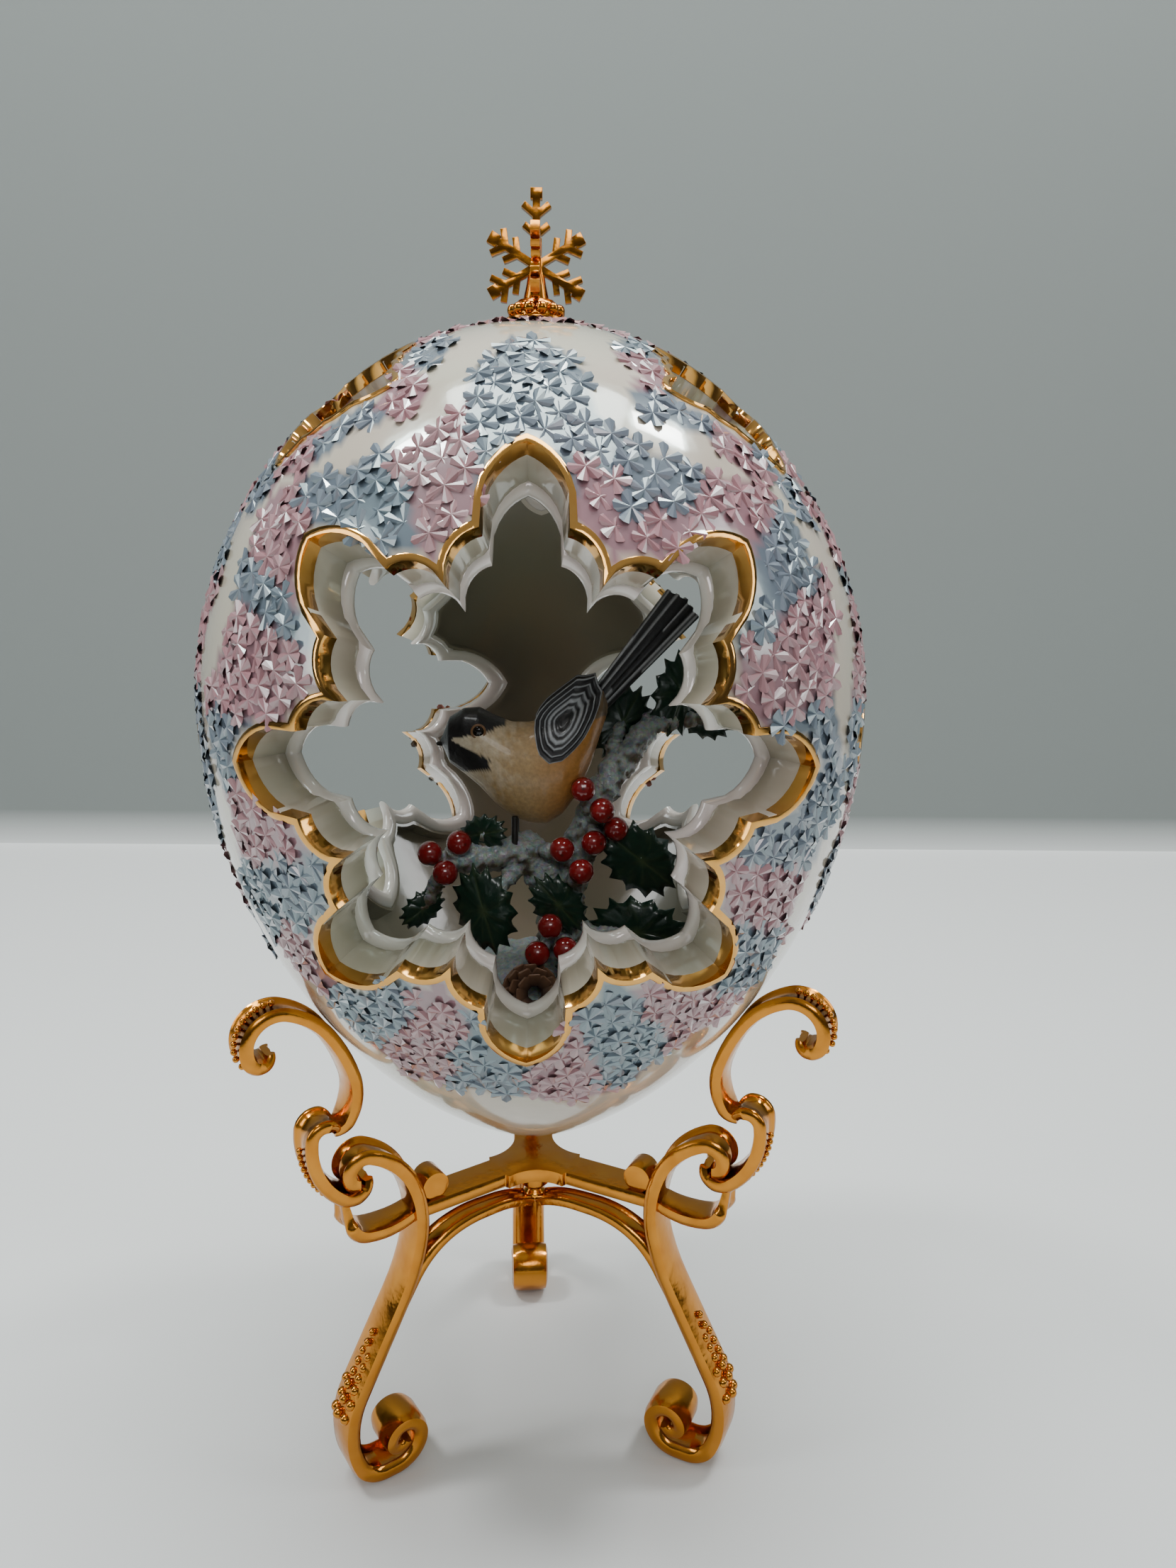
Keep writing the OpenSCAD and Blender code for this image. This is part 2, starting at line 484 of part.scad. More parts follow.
// Leaves: centre, turn in the upright plane, turn about the upright axis, size as a share
leaves = [[[26.4, 4.5, 84.6], 75, 20, 1], [[31, 5.4, 80], -20, -15, 0.72], [[15.8, 4.6, 79], 62, 10, 0.9],
  [[19.2, -4, 55.2], -40, 15, 1.08], [[19, -6.4, 42.4], -5, -12, 1.15], [[4.4, -8.6, 48.2], -50, 8, 0.8],
  [[-8.6, -10, 47.6], -75, -10, 1.02], [[-9, -5.5, 60.4], 15, -25, 0.6], [[-20, -8, 47], 215, 20, 0.55],
  [[7.4, -11, 37.6], 250, 20, 0.6]];
leaf_stems = [right_tip, right_tip, right_knee, berry_stem, low_stem, fork, perch, [-8, -4.5, 56],
  left_tip, low_stem];
module branch() set_down() color([0.75, 0.80, 0.84]) translate([0, 0, egg_rise]) {
  limb(stem_foot, fork, 4, 3.4);
  limb(fork, perch, 3.4, 2.8);
  limb(perch, left_tip, 2.8, 1.5);
  limb(fork, right_knee, 3, 2.2);
  limb(right_knee, right_tip, 2.2, 1.4);
  for (b = berries) twig(b[1], b[0] * 0.8 + b[1] * 0.2, 0.8, 0.6);
  for (i = [0:len(leaves) - 1]) twig(leaf_stems[i], leaves[i][0], 1.2, 0.6);
}

// Prickly leaf outline: points on a long oval with spines drawn out
function holly(n) = [for (i = [0:2 * n - 1]) let (a = i * 180 / n, k = i % 2 == 0 ? 1.14 : 0.84)
  [leaf_length / 2 + leaf_length / 2 * k * cos(a), leaf_length * 0.3 * k * sin(a)]];
module holly_leaves() set_down() color([0.06, 0.20, 0.12]) translate([0, 0, egg_rise]) for (v = leaves)
  translate(v[0]) rotate(v[2]) rotate([90, 0, 0]) rotate(v[1]) translate([-leaf_length * v[3] / 2, 0,
    -leaf_t / 2])
  linear_extrude(leaf_t) scale([v[3], v[3]]) polygon(holly(7));
module holly_berries() set_down() color([0.55, 0.05, 0.06]) translate([0, 0, egg_rise]) for (b = berries)
  translate(b[0]) sphere(d = berry_d, $fn = 24);
module pine_cone() set_down()
  color([0.16, 0.08, 0.06]) translate([-0.5, -14, mound_top - 1.5]) rotate([70, 0, 12])
  rotate_extrude($fn = round_fn) polygon([[0, -6], [3, -5.6], [4.2, -4.2], [3.6, -3.4], [4.9, -2], [4.1,
    -1.2], [4.8, 0.4],
    [3.8, 1.2], [4, 2.6], [2.9, 3.4], [2.7, 4.8], [1.3, 5.6], [0, 6]]);

egg_shell();
finial_collar();
finial_snowflake();
finial_stud();
finial_washer();
finial_nut();
snow_base();
branch();
holly_leaves();
holly_berries();
pine_cone();
bird_body();
bird_wings();
bird_tail();
bird_beak();
bird_legs();
stand_spider();
spider_boss();
leg(left_leg);  // leg_left
leg(right_leg);  // leg_right
leg(rear_leg);  // leg_rear
middle_scroll(left_leg);  // middle_scroll_left
middle_scroll(right_leg);  // middle_scroll_right
middle_scroll(rear_leg);  // middle_scroll_rear
upper_scroll(left_leg);  // upper_scroll_left
upper_scroll(right_leg);  // upper_scroll_right
upper_scroll(rear_leg);  // upper_scroll_rear
leaf(left_leg);  // leaf_left
leaf(right_leg);  // leaf_right
leaf(rear_leg);  // leaf_rear
brace(left_leg);  // brace_left
brace(right_leg);  // brace_right
brace(rear_leg);  // brace_rear
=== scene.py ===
import bpy, bmesh, random
from math import sin, cos, radians, degrees, sqrt, pi, atan2, acos, hypot
from mathutils import Vector, Matrix, noise


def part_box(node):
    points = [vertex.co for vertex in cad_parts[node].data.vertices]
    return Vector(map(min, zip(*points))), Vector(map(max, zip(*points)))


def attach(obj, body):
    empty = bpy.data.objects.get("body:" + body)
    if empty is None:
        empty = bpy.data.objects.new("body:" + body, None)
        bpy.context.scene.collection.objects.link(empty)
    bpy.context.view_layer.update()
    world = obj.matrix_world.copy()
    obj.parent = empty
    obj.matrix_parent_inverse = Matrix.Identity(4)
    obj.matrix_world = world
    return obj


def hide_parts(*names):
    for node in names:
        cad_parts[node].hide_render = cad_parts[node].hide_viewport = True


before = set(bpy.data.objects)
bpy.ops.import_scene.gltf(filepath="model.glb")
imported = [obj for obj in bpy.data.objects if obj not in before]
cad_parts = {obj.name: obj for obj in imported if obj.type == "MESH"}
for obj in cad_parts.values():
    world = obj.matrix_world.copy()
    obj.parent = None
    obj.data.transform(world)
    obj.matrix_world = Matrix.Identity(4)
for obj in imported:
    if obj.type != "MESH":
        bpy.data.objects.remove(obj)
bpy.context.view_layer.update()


# The view: a phone held level with the top of the egg, a hand's breadth in front of it,
# looking a little down. Its turns are in degrees and its place in metres.
yaw, pitch, roll = radians(1.20), radians(-12.97), radians(0.76)
eye_at = Vector((0.0056, -0.1950, 0.1743))
ahead = Vector((sin(yaw) * cos(pitch), cos(yaw) * cos(pitch), sin(pitch)))
level = Vector((cos(yaw), -sin(yaw), 0))
above = level.cross(ahead)
right = level * cos(roll) + above * sin(roll)
over = above * cos(roll) - level * sin(roll)
eye = bpy.data.cameras.new("view")
eye.lens, eye.sensor_width = 24.79, 36
eye.clip_start, eye.clip_end = 0.01, 20
camera = bpy.data.objects.new("view", eye)
bpy.context.collection.objects.link(camera)
camera.matrix_world = Matrix(((right.x, over.x, -ahead.x, eye_at.x), (right.y, over.y, -ahead.y, eye_at.y),
                              (right.z, over.z, -ahead.z, eye_at.z), (0, 0, 0, 1)))
bpy.context.scene.camera = camera


# The room: a pale table top with a soft grey wall well behind it, which fades into the table's far edge,
# and large soft lamps over and beside it.
def clear():
    for o in list(bpy.context.selected_objects):
        o.select_set(False)
    bpy.context.view_layer.objects.active = None


def named(name):
    o = bpy.context.object
    o.name = o.data.name = name
    return o


def plain(name, colour, rough):
    m = bpy.data.materials.new(name)
    m.use_nodes = True
    s = m.node_tree.nodes["Principled BSDF"]
    s.inputs["Base Color"].default_value = (*colour, 1)
    s.inputs["Roughness"].default_value = rough
    return m, m.node_tree.nodes, m.node_tree.links, s


clear()
bpy.ops.mesh.primitive_plane_add(size=6, location=(0, 0, 0))
floor = named("table_top")
m, n, k, s = plain("pale table", (0.64, 0.66, 0.655), 0.5)
floor.data.materials.append(m)
clear()
bpy.ops.mesh.primitive_plane_add(size=8, location=(0, 0.40, 2), rotation=(pi / 2, 0, 0))
wall = named("back_wall")
m, n, k, s = plain("soft grey wall", (0.27, 0.29, 0.295), 0.9)
place = n.new("ShaderNodeNewGeometry")
split = n.new("ShaderNodeSeparateXYZ")
rise = n.new("ShaderNodeMapRange")
rise.inputs["From Min"].default_value, rise.inputs["From Max"].default_value = 0.0, 0.02
blend = n.new("ShaderNodeMix")
blend.data_type = "RGBA"
blend.inputs[6].default_value = (0.60, 0.62, 0.615, 1)
blend.inputs[7].default_value = (0.185, 0.205, 0.198, 1)
k.new(place.outputs["Position"], split.inputs[0])
k.new(split.outputs["Z"], rise.inputs["Value"])
k.new(rise.outputs[0], blend.inputs[0])
k.new(blend.outputs[2], s.inputs["Base Color"])
wall.data.materials.append(m)

room = bpy.data.worlds.new("soft room")
bpy.context.scene.world = room
room.use_nodes = True
n, k = room.node_tree.nodes, room.node_tree.links
way = n.new("ShaderNodeTexCoord")
split = n.new("ShaderNodeSeparateXYZ")
height_ramp = n.new("ShaderNodeValToRGB")
e = height_ramp.color_ramp.elements
e[0].position, e[0].color = 0.35, (0.10, 0.095, 0.09, 1)
e[1].position, e[1].color = 0.85, (0.95, 0.97, 0.97, 1)
low = height_ramp.color_ramp.elements.new(0.6)
low.color = (0.20, 0.20, 0.20, 1)
half = n.new("ShaderNodeMath")
half.operation = "MULTIPLY_ADD"
half.inputs[1].default_value, half.inputs[2].default_value = 0.5, 0.5
k.new(way.outputs["Generated"], split.inputs[0])
k.new(split.outputs["Z"], half.inputs[0])
k.new(half.outputs[0], height_ramp.inputs[0])
k.new(height_ramp.outputs[0], n["Background"].inputs[0])
n["Background"].inputs[1].default_value = 0.42


def soft_lamp(name, at, aim, wide, deep, power, colour=(1, 1, 1)):
    lamp = bpy.data.lights.new(name, "AREA")
    lamp.shape, lamp.size, lamp.size_y, lamp.energy, lamp.color = "RECTANGLE", wide, deep, power, colour
    o = bpy.data.objects.new(name, lamp)
    bpy.context.collection.objects.link(o)
    o.location = at
    o.rotation_mode = "QUATERNION"
    o.rotation_quaternion = (Vector(aim) - Vector(at)).to_track_quat("-Z", "Y")


soft_lamp("lamp_over", (0.0, 0.05, 1.1), (0, 0.05, 0.1), 0.7, 0.5, 11.5, (0.96, 1.0, 0.99))
soft_lamp("lamp_ceiling_left", (-0.42, 0.00, 0.90), (0, 0, 0.15), 0.10, 0.16, 3.6)
soft_lamp("lamp_ceiling_right", (0.40, 0.15, 0.90), (0, 0, 0.15), 0.10, 0.18, 3.2)
soft_lamp("lamp_left", (-0.9, -0.25, 0.55), (0, 0, 0.12), 0.25, 0.7, 2.4)
soft_lamp("lamp_right", (0.9, -0.15, 0.60), (0, 0, 0.12), 0.25, 0.6, 2.0)
soft_lamp("lamp_front", (0.1, -1.0, 0.85), (0, 0, 0.1), 0.5, 0.3, 2.6)


# Fired gold and gilt metal: the same deep orange gold, softly uneven from polishing, in random darker
# patches.
# The gilding of the windows is bright, the cast stand a shade warmer.
def worn_group():
    g = bpy.data.node_groups.new("polish marks", "ShaderNodeTree")
    g.interface.new_socket("Scale", in_out="INPUT", socket_type="NodeSocketFloat").default_value = 900
    g.interface.new_socket("Low", in_out="INPUT", socket_type="NodeSocketFloat").default_value = 0.12
    g.interface.new_socket("High", in_out="INPUT", socket_type="NodeSocketFloat").default_value = 0.26
    g.interface.new_socket("Roughness", in_out="OUTPUT", socket_type="NodeSocketFloat")
    g.interface.new_socket("Height", in_out="OUTPUT", socket_type="NodeSocketFloat")
    i, o = g.nodes.new("NodeGroupInput"), g.nodes.new("NodeGroupOutput")
    where = g.nodes.new("ShaderNodeTexCoord")
    cloud = g.nodes.new("ShaderNodeTexNoise")
    cloud.inputs["Detail"].default_value = 3
    span = g.nodes.new("ShaderNodeMapRange")
    span.inputs["From Min"].default_value, span.inputs["From Max"].default_value = 0.35, 0.65
    g.links.new(where.outputs["Object"], cloud.inputs["Vector"])
    g.links.new(i.outputs["Scale"], cloud.inputs["Scale"])
    g.links.new(cloud.outputs["Fac"], span.inputs["Value"])
    g.links.new(i.outputs["Low"], span.inputs["To Min"])
    g.links.new(i.outputs["High"], span.inputs["To Max"])
    g.links.new(span.outputs[0], o.inputs["Roughness"])
    g.links.new(cloud.outputs["Fac"], o.inputs["Height"])
    return g


polish = worn_group()


def metal(name, colour, low, high, scale, dent):
    m, n, k, s = plain(name, colour, 0.2)
    s.inputs["Metallic"].default_value = 1
    g = n.new("ShaderNodeGroup")
    g.node_tree = polish
    for socket, value in (("Scale", scale), ("Low", low), ("High", high)):
        g.inputs[socket].default_value = value
    k.new(g.outputs["Roughness"], s.inputs["Roughness"])
    bump = n.new("ShaderNodeBump")
    bump.inputs["Strength"].default_value, bump.inputs["Distance"].default_value = dent, 0.0003
    k.new(g.outputs["Height"], bump.inputs["Height"])
    k.new(bump.outputs["Normal"], s.inputs["Normal"])
    tint = n.new("ShaderNodeMix")
    tint.data_type = "RGBA"
    tint.inputs[6].default_value = (*colour, 1)
    tint.inputs[7].default_value = (colour[0] * 0.82, colour[1] * 0.68, colour[2] * 0.5, 1)
    k.new(g.outputs["Height"], tint.inputs[0])
    k.new(tint.outputs[2], s.inputs["Base Color"])
    return m


fired_gold = metal("fired gold", (0.74, 0.43, 0.13), 0.07, 0.14, 400, 0.05)
gilt = metal("gilt casting", (0.60, 0.26, 0.042), 0.12, 0.26, 260, 0.5)
steel = metal("plain steel", (0.55, 0.55, 0.56), 0.25, 0.4, 600, 0.1)


# The egg: cast porcelain, blunt end up, with three large and three small lobed windows, each with a wall
# turned inward, in a cream pearl glaze tinted under the flowers. Its outline is four arcs that meet smoothly,
# in millimetres from the egg's bottom, and is then set at the height that the frame gives.
mm = 0.001
axis_y = -2.9
egg_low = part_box("egg_shell")[0][2] / mm
height, wide_r, wide_z = 146.5, 56.8, 83.5
base_r, crown_r, wall_t = 18.0, 48.0, 4.0
low_in = ((wide_z - base_r) ** 2 - (wide_r - base_r) ** 2) / (2 * (wide_r - base_r))
crown_c = height - crown_r
high_in = ((crown_c - wide_z) ** 2 - (wide_r - crown_r) ** 2) / (2 * (wide_r - crown_r))
low_join = base_r + (base_r - wide_z) * base_r / (wide_r + low_in - base_r)
high_join = crown_c + (crown_c - wide_z) * crown_r / (wide_r + high_in - crown_r)


def egg_arc(z):
    # centre (radius, height) and radius of the arc at a height
    if z < low_join:
        return 0, base_r, base_r
    if z < wide_z:
        return -low_in, wide_z, wide_r + low_in
    if z < high_join:
        return -high_in, wide_z, wide_r + high_in
    return 0, crown_c, crown_r


def egg_r(z):
    a, b, r = egg_arc(z)
    return a + sqrt(max(0.0, r * r - (z - b) ** 2))


def egg_point(z, turn, out=0.0):
    # a place on the egg, or off it along the egg's normal
    a, b, r = egg_arc(z)
    q = egg_r(z)
    reach, rise = q + out * ((q - a) / r), z + out * ((z - b) / r)
    return Vector((reach * sin(turn), axis_y - reach * cos(turn), rise + egg_low)) * mm


def polar(co):
    x, y = co.x / mm, co.y / mm - axis_y
    return hypot(x, y), atan2(x, -y), co.z / mm - egg_low


def far_side(a, c, r):
    # where a ray at an angle leaves a circle
    b = c[0] * cos(a) + c[1] * sin(a)
    q = r * r - (c[0] ** 2 + c[1] ** 2 - b * b)
    return 0 if q < 0 else b + sqrt(q)


class Window:
    # a window of like lobes, each with two round shoulders and a pointed arch of two larger arcs
    squeeze = 0.94

    def __init__(self, lobes, turn, shoulder, arch, tip, lift, depth, crown):
        self.lobes, self.turn, self.tip = lobes, turn, tip
        self.ring, self.side, self.r = shoulder
        self.arch, self.off = arch
        self.lift, self.depth = lift, depth
        self.crown_out, self.crown_in = crown

    def edge(self, a, grow=0.0):
        if grow < 0:
            return self.edge(a) + grow
        a = (a - pi / 2 + pi / self.lobes) % (2 * pi / self.lobes) - pi / self.lobes
        arch_r = hypot(self.tip - self.arch, self.off) + grow
        shoulders = [far_side(a, (self.ring, side), self.r + grow) for side in (self.side, -self.side)]
        arches = [far_side(a, (self.arch, off), arch_r) for off in (self.off, -self.off)]
        return max(*shoulders, min(arches))

    def where(self, u, v, out):
        z = self.lift(v)
        r = egg_r(z)
        return egg_point(z, self.turn + atan2(u, sqrt(max(1.0, r * r - u * u))), out)

    def outline(self, steps, grow, out):
        pts = []
        for i in range(steps):
            a = 2 * pi * i / steps + pi / 2
            d = self.edge(a, grow)
            pts.append(self.where(d * cos(a) * self.squeeze, d * sin(a), out))
        return pts


big_z = 80
small_tilt = radians(49.5)


def up_the_side(v):
    return big_z + v


def up_the_crown(v):
    bow = wide_r + high_in
    return wide_z + bow * sin(small_tilt + v / bow)


big = [Window(lobes=8, turn=radians(120 * i), shoulder=(27.5, 5, 6), arch=(35.5, 3.2), tip=44.5,
              lift=up_the_side, depth=9.0, crown=(4, 6)) for i in range(3)]
small = [Window(lobes=4, turn=radians(60 + 120 * i), shoulder=(6.2, 3.2, 3.6), arch=(9.6, 2.0), tip=14.5,
                lift=up_the_crown, depth=6.5, crown=(2, 2)) for i in range(3)]


def egg_body(name, inset, around, rings):
    clear()
    bpy.ops.mesh.primitive_uv_sphere_add(segments=around, ring_count=rings, radius=1)
    o = named(name)
    for v in o.data.vertices:
        a = acos(max(-1, min(1, -v.co.z)))
        z = height * (1 - cos(a)) / 2
        v.co = egg_point(z, atan2(v.co.x, -v.co.y), -inset)
    return o


def window_cutter(name, w, grow, above, below, steps):
    # a block with a window's outline, from above the skin to below it, ruled along the egg's normal
    clear()
    bpy.ops.mesh.primitive_circle_add(vertices=steps, radius=1, fill_type="TRIFAN")
    o = named(name)
    dots = o.data.vertices
    outer, inner = w.outline(steps, grow, above), w.outline(steps, grow, -below)
    rim = [v.index for v in dots if v.co.length > 0.5]
    rim.sort(key=lambda i: atan2(dots[i].co.y, dots[i].co.x) % (2 * pi))
    for i, place in zip(rim, outer):
        dots[i].co = place
    middle = [v.index for v in dots if v.index not in rim][0]
    dots[middle].co = w.where(0, 0, above + w.crown_out)
    bpy.context.view_layer.objects.active = o
    o.select_set(True)
    bpy.ops.object.mode_set(mode="EDIT")
    bpy.ops.mesh.select_all(action="SELECT")
    bpy.ops.mesh.extrude_region_move()
    bpy.ops.object.mode_set(mode="OBJECT")
    near = {tuple(round(c, 7) for c in p): j for j, p in enumerate(outer)}
    for v in o.data.vertices:
        if v.select:
            j = near.get(tuple(round(c, 7) for c in v.co))
            v.co = inner[j] if j is not None else w.where(0, 0, -below - w.crown_in)
    tidy(o)
    return o


def tidy(o, weld=True):
    clear()
    o.select_set(True)
    bpy.context.view_layer.objects.active = o
    bpy.ops.object.mode_set(mode="EDIT")
    bpy.ops.mesh.select_all(action="SELECT")
    if weld:
        bpy.ops.mesh.remove_doubles(threshold=1e-6)
    bpy.ops.mesh.normals_make_consistent(inside=False)
    bpy.ops.object.mode_set(mode="OBJECT")


def join(o, others, how):
    for c in others:
        b = o.modifiers.new("cut", "BOOLEAN")
        b.operation, b.object, b.solver = how, c, "MANIFOLD"
        clear()
        o.select_set(True)
        bpy.context.view_layer.objects.active = o
        bpy.ops.object.modifier_apply(modifier=b.name)
    for c in others:
        bpy.data.objects.remove(c)
    return o


def copied(o, name):
    c = o.copy()
    c.data = o.data.copy()
    c.name = c.data.name = name
    bpy.context.collection.objects.link(c)
    return c


window_wall = 2.8
shell = join(egg_body("egg_pearl_shell", 0, 192, 128), [egg_body("hollow", wall_t, 160, 100)], "DIFFERENCE")
for group, steps in ((big, 208), (small, 96)):
    depth = group[0].depth
    walls = [window_cutter("wall", w, window_wall, 4, depth + 5, steps) for w in group]
    tube = join(walls[0], walls[1:], "UNION")
    tube = join(tube, [egg_body("skin", 2, 128, 80)], "INTERSECT")
    tube = join(tube, [egg_body("core", depth, 128, 80)], "DIFFERENCE")
    shell = join(shell, [tube], "UNION")
for group, steps in ((big, 208), (small, 96)):
    holes = [window_cutter("hole", w, 0, 6, w.depth + 4, steps) for w in group]
    shell = join(shell, holes, "DIFFERENCE")
tidy(shell, False)
bpy.ops.object.shade_smooth_by_angle(angle=radians(40))

# Angles round a large window, from its right, at which the flowers change between pink and grey-blue
patch_ends = [12, 30, 43, 80, 100, 115, 132, 146, 152] + list(range(172, 341, 14))
flower_oval, oval_up, oval_down = 50.5, 61, 55
crown_patch = 8.5


def bloom(co, margin=1.2):
    # what is modelled at a place on the egg: 1 pink flowers, -1 grey-blue flowers, 0 plain cream
    r, t, z = polar(co)
    if z > height - 1.5:
        return 1 if r > 5.5 else 0
    best = (99, 0, 0, 0)
    for w in big:
        d = (t - w.turn + pi) % (2 * pi) - pi
        if abs(d) < radians(88):
            u, v = r * sin(d), z - big_z
            a, reach = atan2(v, u / w.squeeze), hypot(u / w.squeeze, v)
            gap = reach - w.edge(a)
            if gap < best[0]:
                oval = 1 / hypot(cos(a) / flower_oval, sin(a) / (oval_up if a > 0 else oval_down))
                best = (gap, a, oval + 1.8 * cos(10 * a + 1.1) - reach, 8)
    for w in small:
        far = (co - w.where(0, 0, 0)) / mm
        u = far.dot(Vector((cos(w.turn), sin(w.turn), 0)))
        v = far.dot(Vector((-sin(w.turn) * 0.72, cos(w.turn) * 0.72, 0.69)))
        a, reach = atan2(v, u / w.squeeze), hypot(u / w.squeeze, v)
        gap = reach - w.edge(a)
        if far.length < 30 and (gap < best[0] or crown_patch + cos(8 * a) > gap):
            best = (gap, a, crown_patch + 1.2 * cos(8 * a) - gap, 4)
    gap, a, room_left, lobes = best
    if gap < margin or room_left < 0:
        return 0
    d = degrees(a) % 360
    if lobes == 4:
        return 1 if sin(5 * a + 0.8) > 0.1 else -1
    if 57 < d < 80 and gap > 9:
        return -1
    return 1 if sum(d > end for end in patch_ends) % 2 else -1


cream, rose, slate = (0.56, 0.515, 0.41), (0.30, 0.17, 0.19), (0.13, 0.165, 0.20)
# inside is painted shade: a dark olive for the dim inner wall of the egg and the deep ends of the window
# walls
tan_ink, inside = (0.42, 0.31, 0.20), (0.24, 0.215, 0.15)
paint = shell.data.color_attributes.new("glaze", "FLOAT_COLOR", "POINT")
for i, v in enumerate(shell.data.vertices):
    r, t, z = polar(v.co)
    skin = egg_r(min(height - 0.01, max(0.01, z)))
    c = cream
    # Painted shade: the inner wall below the crown and the deep ends of the window walls take the dark olive
    if r < skin - 8.2 or abs(r - (skin - wall_t)) < 1.3 and z < height - 12:
        c = inside
    elif r > skin - 1.2:
        b = bloom(v.co)
        if b:
            c = rose if b > 0 else slate
        elif 6 < z < 44 and sin(6 * t + 0.6) * sin(z / 3.1) + 0.5 * sin(18 * t + z / 2.4) > 0.8:
            c = tan_ink
    paint.data[i].color = (*c, 1)


def pearl(name, rough, tint_from=None, colour=(0.8, 0.76, 0.7)):
    # glaze with a lustre film: the paint attribute or one colour, with cloudy pink and green tints over it as
    # a painted iridescent sheen
    m, n, k, s = plain(name, colour, rough)
    s.inputs["Coat Weight"].default_value = 0.7
    s.inputs["Coat Roughness"].default_value = 0.04
    s.inputs["Specular IOR Level"].default_value = 0.75
    s.inputs["Thin Film Thickness"].default_value = 760
    s.inputs["Thin Film IOR"].default_value = 1.75
    where = n.new("ShaderNodeTexCoord")
    cloud = n.new("ShaderNodeTexNoise")
    cloud.inputs["Scale"].default_value, cloud.inputs["Detail"].default_value = 38, 1
    shade = n.new("ShaderNodeValToRGB")
    e = shade.color_ramp.elements
    e[0].position, e[0].color = 0.36, (0.93, 1.0, 0.98, 1)
    e[1].position, e[1].color = 0.64, (1.0, 0.93, 0.97, 1)
    mix = n.new("ShaderNodeMix")
    mix.data_type, mix.blend_type = "RGBA", "MULTIPLY"
    mix.inputs[0].default_value = 0.8
    mix.inputs[6].default_value = (*colour, 1)
    k.new(where.outputs["Object"], cloud.inputs["Vector"])
    k.new(cloud.outputs["Fac"], shade.inputs[0])
    if tint_from:
        a = n.new("ShaderNodeAttribute")
        a.attribute_name = tint_from
        k.new(a.outputs["Color"], mix.inputs[6])
    k.new(shade.outputs[0], mix.inputs[7])
    k.new(mix.outputs[2], s.inputs["Base Color"])
    fine = n.new("ShaderNodeTexNoise")
    fine.inputs["Scale"].default_value = 220
    bump = n.new("ShaderNodeBump")
    bump.inputs["Strength"].default_value, bump.inputs["Distance"].default_value = 0.12, 0.0006
    k.new(where.outputs["Object"], fine.inputs["Vector"])
    k.new(fine.outputs["Fac"], bump.inputs["Height"])
    k.new(bump.outputs["Normal"], s.inputs["Normal"])
    return m


shell.data.materials.clear()
shell.data.materials.append(pearl("pearl glaze", 0.16, "glaze"))
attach(shell, "egg")
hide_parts("egg_shell")


# Rims of the windows: a band of fired gold laid over the outer edge of each wall, and a rolled lip of pearl
# glaze at the wall's inner end. Each is one closed tube that follows the window's outline.
def closed_tube(name, rings):
    clear()
    sides = len(rings)
    bpy.ops.mesh.primitive_torus_add(major_segments=len(rings[0]), minor_segments=sides, major_radius=1,
                                     minor_radius=0.2)
    o = named(name)
    for i, v in enumerate(o.data.vertices):
        v.co = rings[i % sides][i // sides]
    tidy(o, False)
    bpy.ops.object.shade_smooth_by_angle(angle=radians(50))
    return o


def fused(name, parts):
    clear()
    for o in parts:
        o.select_set(True)
    bpy.context.view_layer.objects.active = parts[0]
    if len(parts) > 1:
        bpy.ops.object.join()
    return named(name)


bands, lips = [], []
for group, steps, share in ((big, 240, 1.0), (small, 128, 0.75)):
    band = [(0.95 * share, 0.02), (0.9 * share, 0.34), (0.4 * share, 0.52), (-0.1, 0.38), (-0.22, -0.2),
            (-0.22, -2.1 * share), (0.12, -2.3 * share)]
    roll_r, roll_in = 1.75 * share, 0.55 * share
    for w in group:
        bands.append(closed_tube("band", [w.outline(steps, grow, out) for grow, out in band]))
        turns = [2 * pi * j / 10 for j in range(10)]
        lips.append(closed_tube("lip", [w.outline(steps, roll_in + roll_r * cos(t),
                                                  0.2 - w.depth + roll_r * 0.8 * sin(t)) for t in turns]))
gold_bands = fused("window_gold_bands", bands)
gold_bands.data.materials.append(fired_gold)
pearl_lips = fused("window_pearl_lips", lips)
pearl_lips.data.materials.append(pearl("pearl lip glaze", 0.14, None, (0.70, 0.66, 0.60)))
for o in (gold_bands, pearl_lips):
    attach(o, "egg")


# Relief flowers: small five-petalled porcelain flowers set close together in pink and grey-blue patches
# round the windows and the finial, each petal a cup with a raised edge that catches the light.
flower_proud = 0.7
flower_margin = 2.4
flower_spots = 3500
petal_rim = ((1.0, 0.34), (0.92, 0.16), (0.60, -0.2), (0.92, 0.16))
petal_cup = ((0.56, 0.10), (0.68, 0.62), (0.34, -0.02), (0.68, 0.62))


def flower_shape(name):
    clear()
    bpy.ops.mesh.primitive_circle_add(vertices=20, radius=1, fill_type="TRIFAN")
    o = named(name)
    bm = bmesh.new()
    bm.from_mesh(o.data)
    bm.faces.ensure_lookup_table()
    bmesh.ops.inset_region(bm, faces=bm.faces[:], thickness=0.34)
    for v in bm.verts:
        a = atan2(v.co.y, v.co.x)
        j = round(a / (2 * pi / 20)) % 4
        d = v.co.length
        if d < 0.05:
            v.co = Vector((0, 0, 0.34))
        else:
            reach, rise = (petal_rim if d > 0.95 else petal_cup)[j]
            v.co = Vector((reach * cos(a), reach * sin(a), rise))
    bm.to_mesh(o.data)
    bm.free()
    for v in o.data.vertices:
        v.co *= mm
    for f in o.data.polygons:
        f.use_smooth = False
    return o


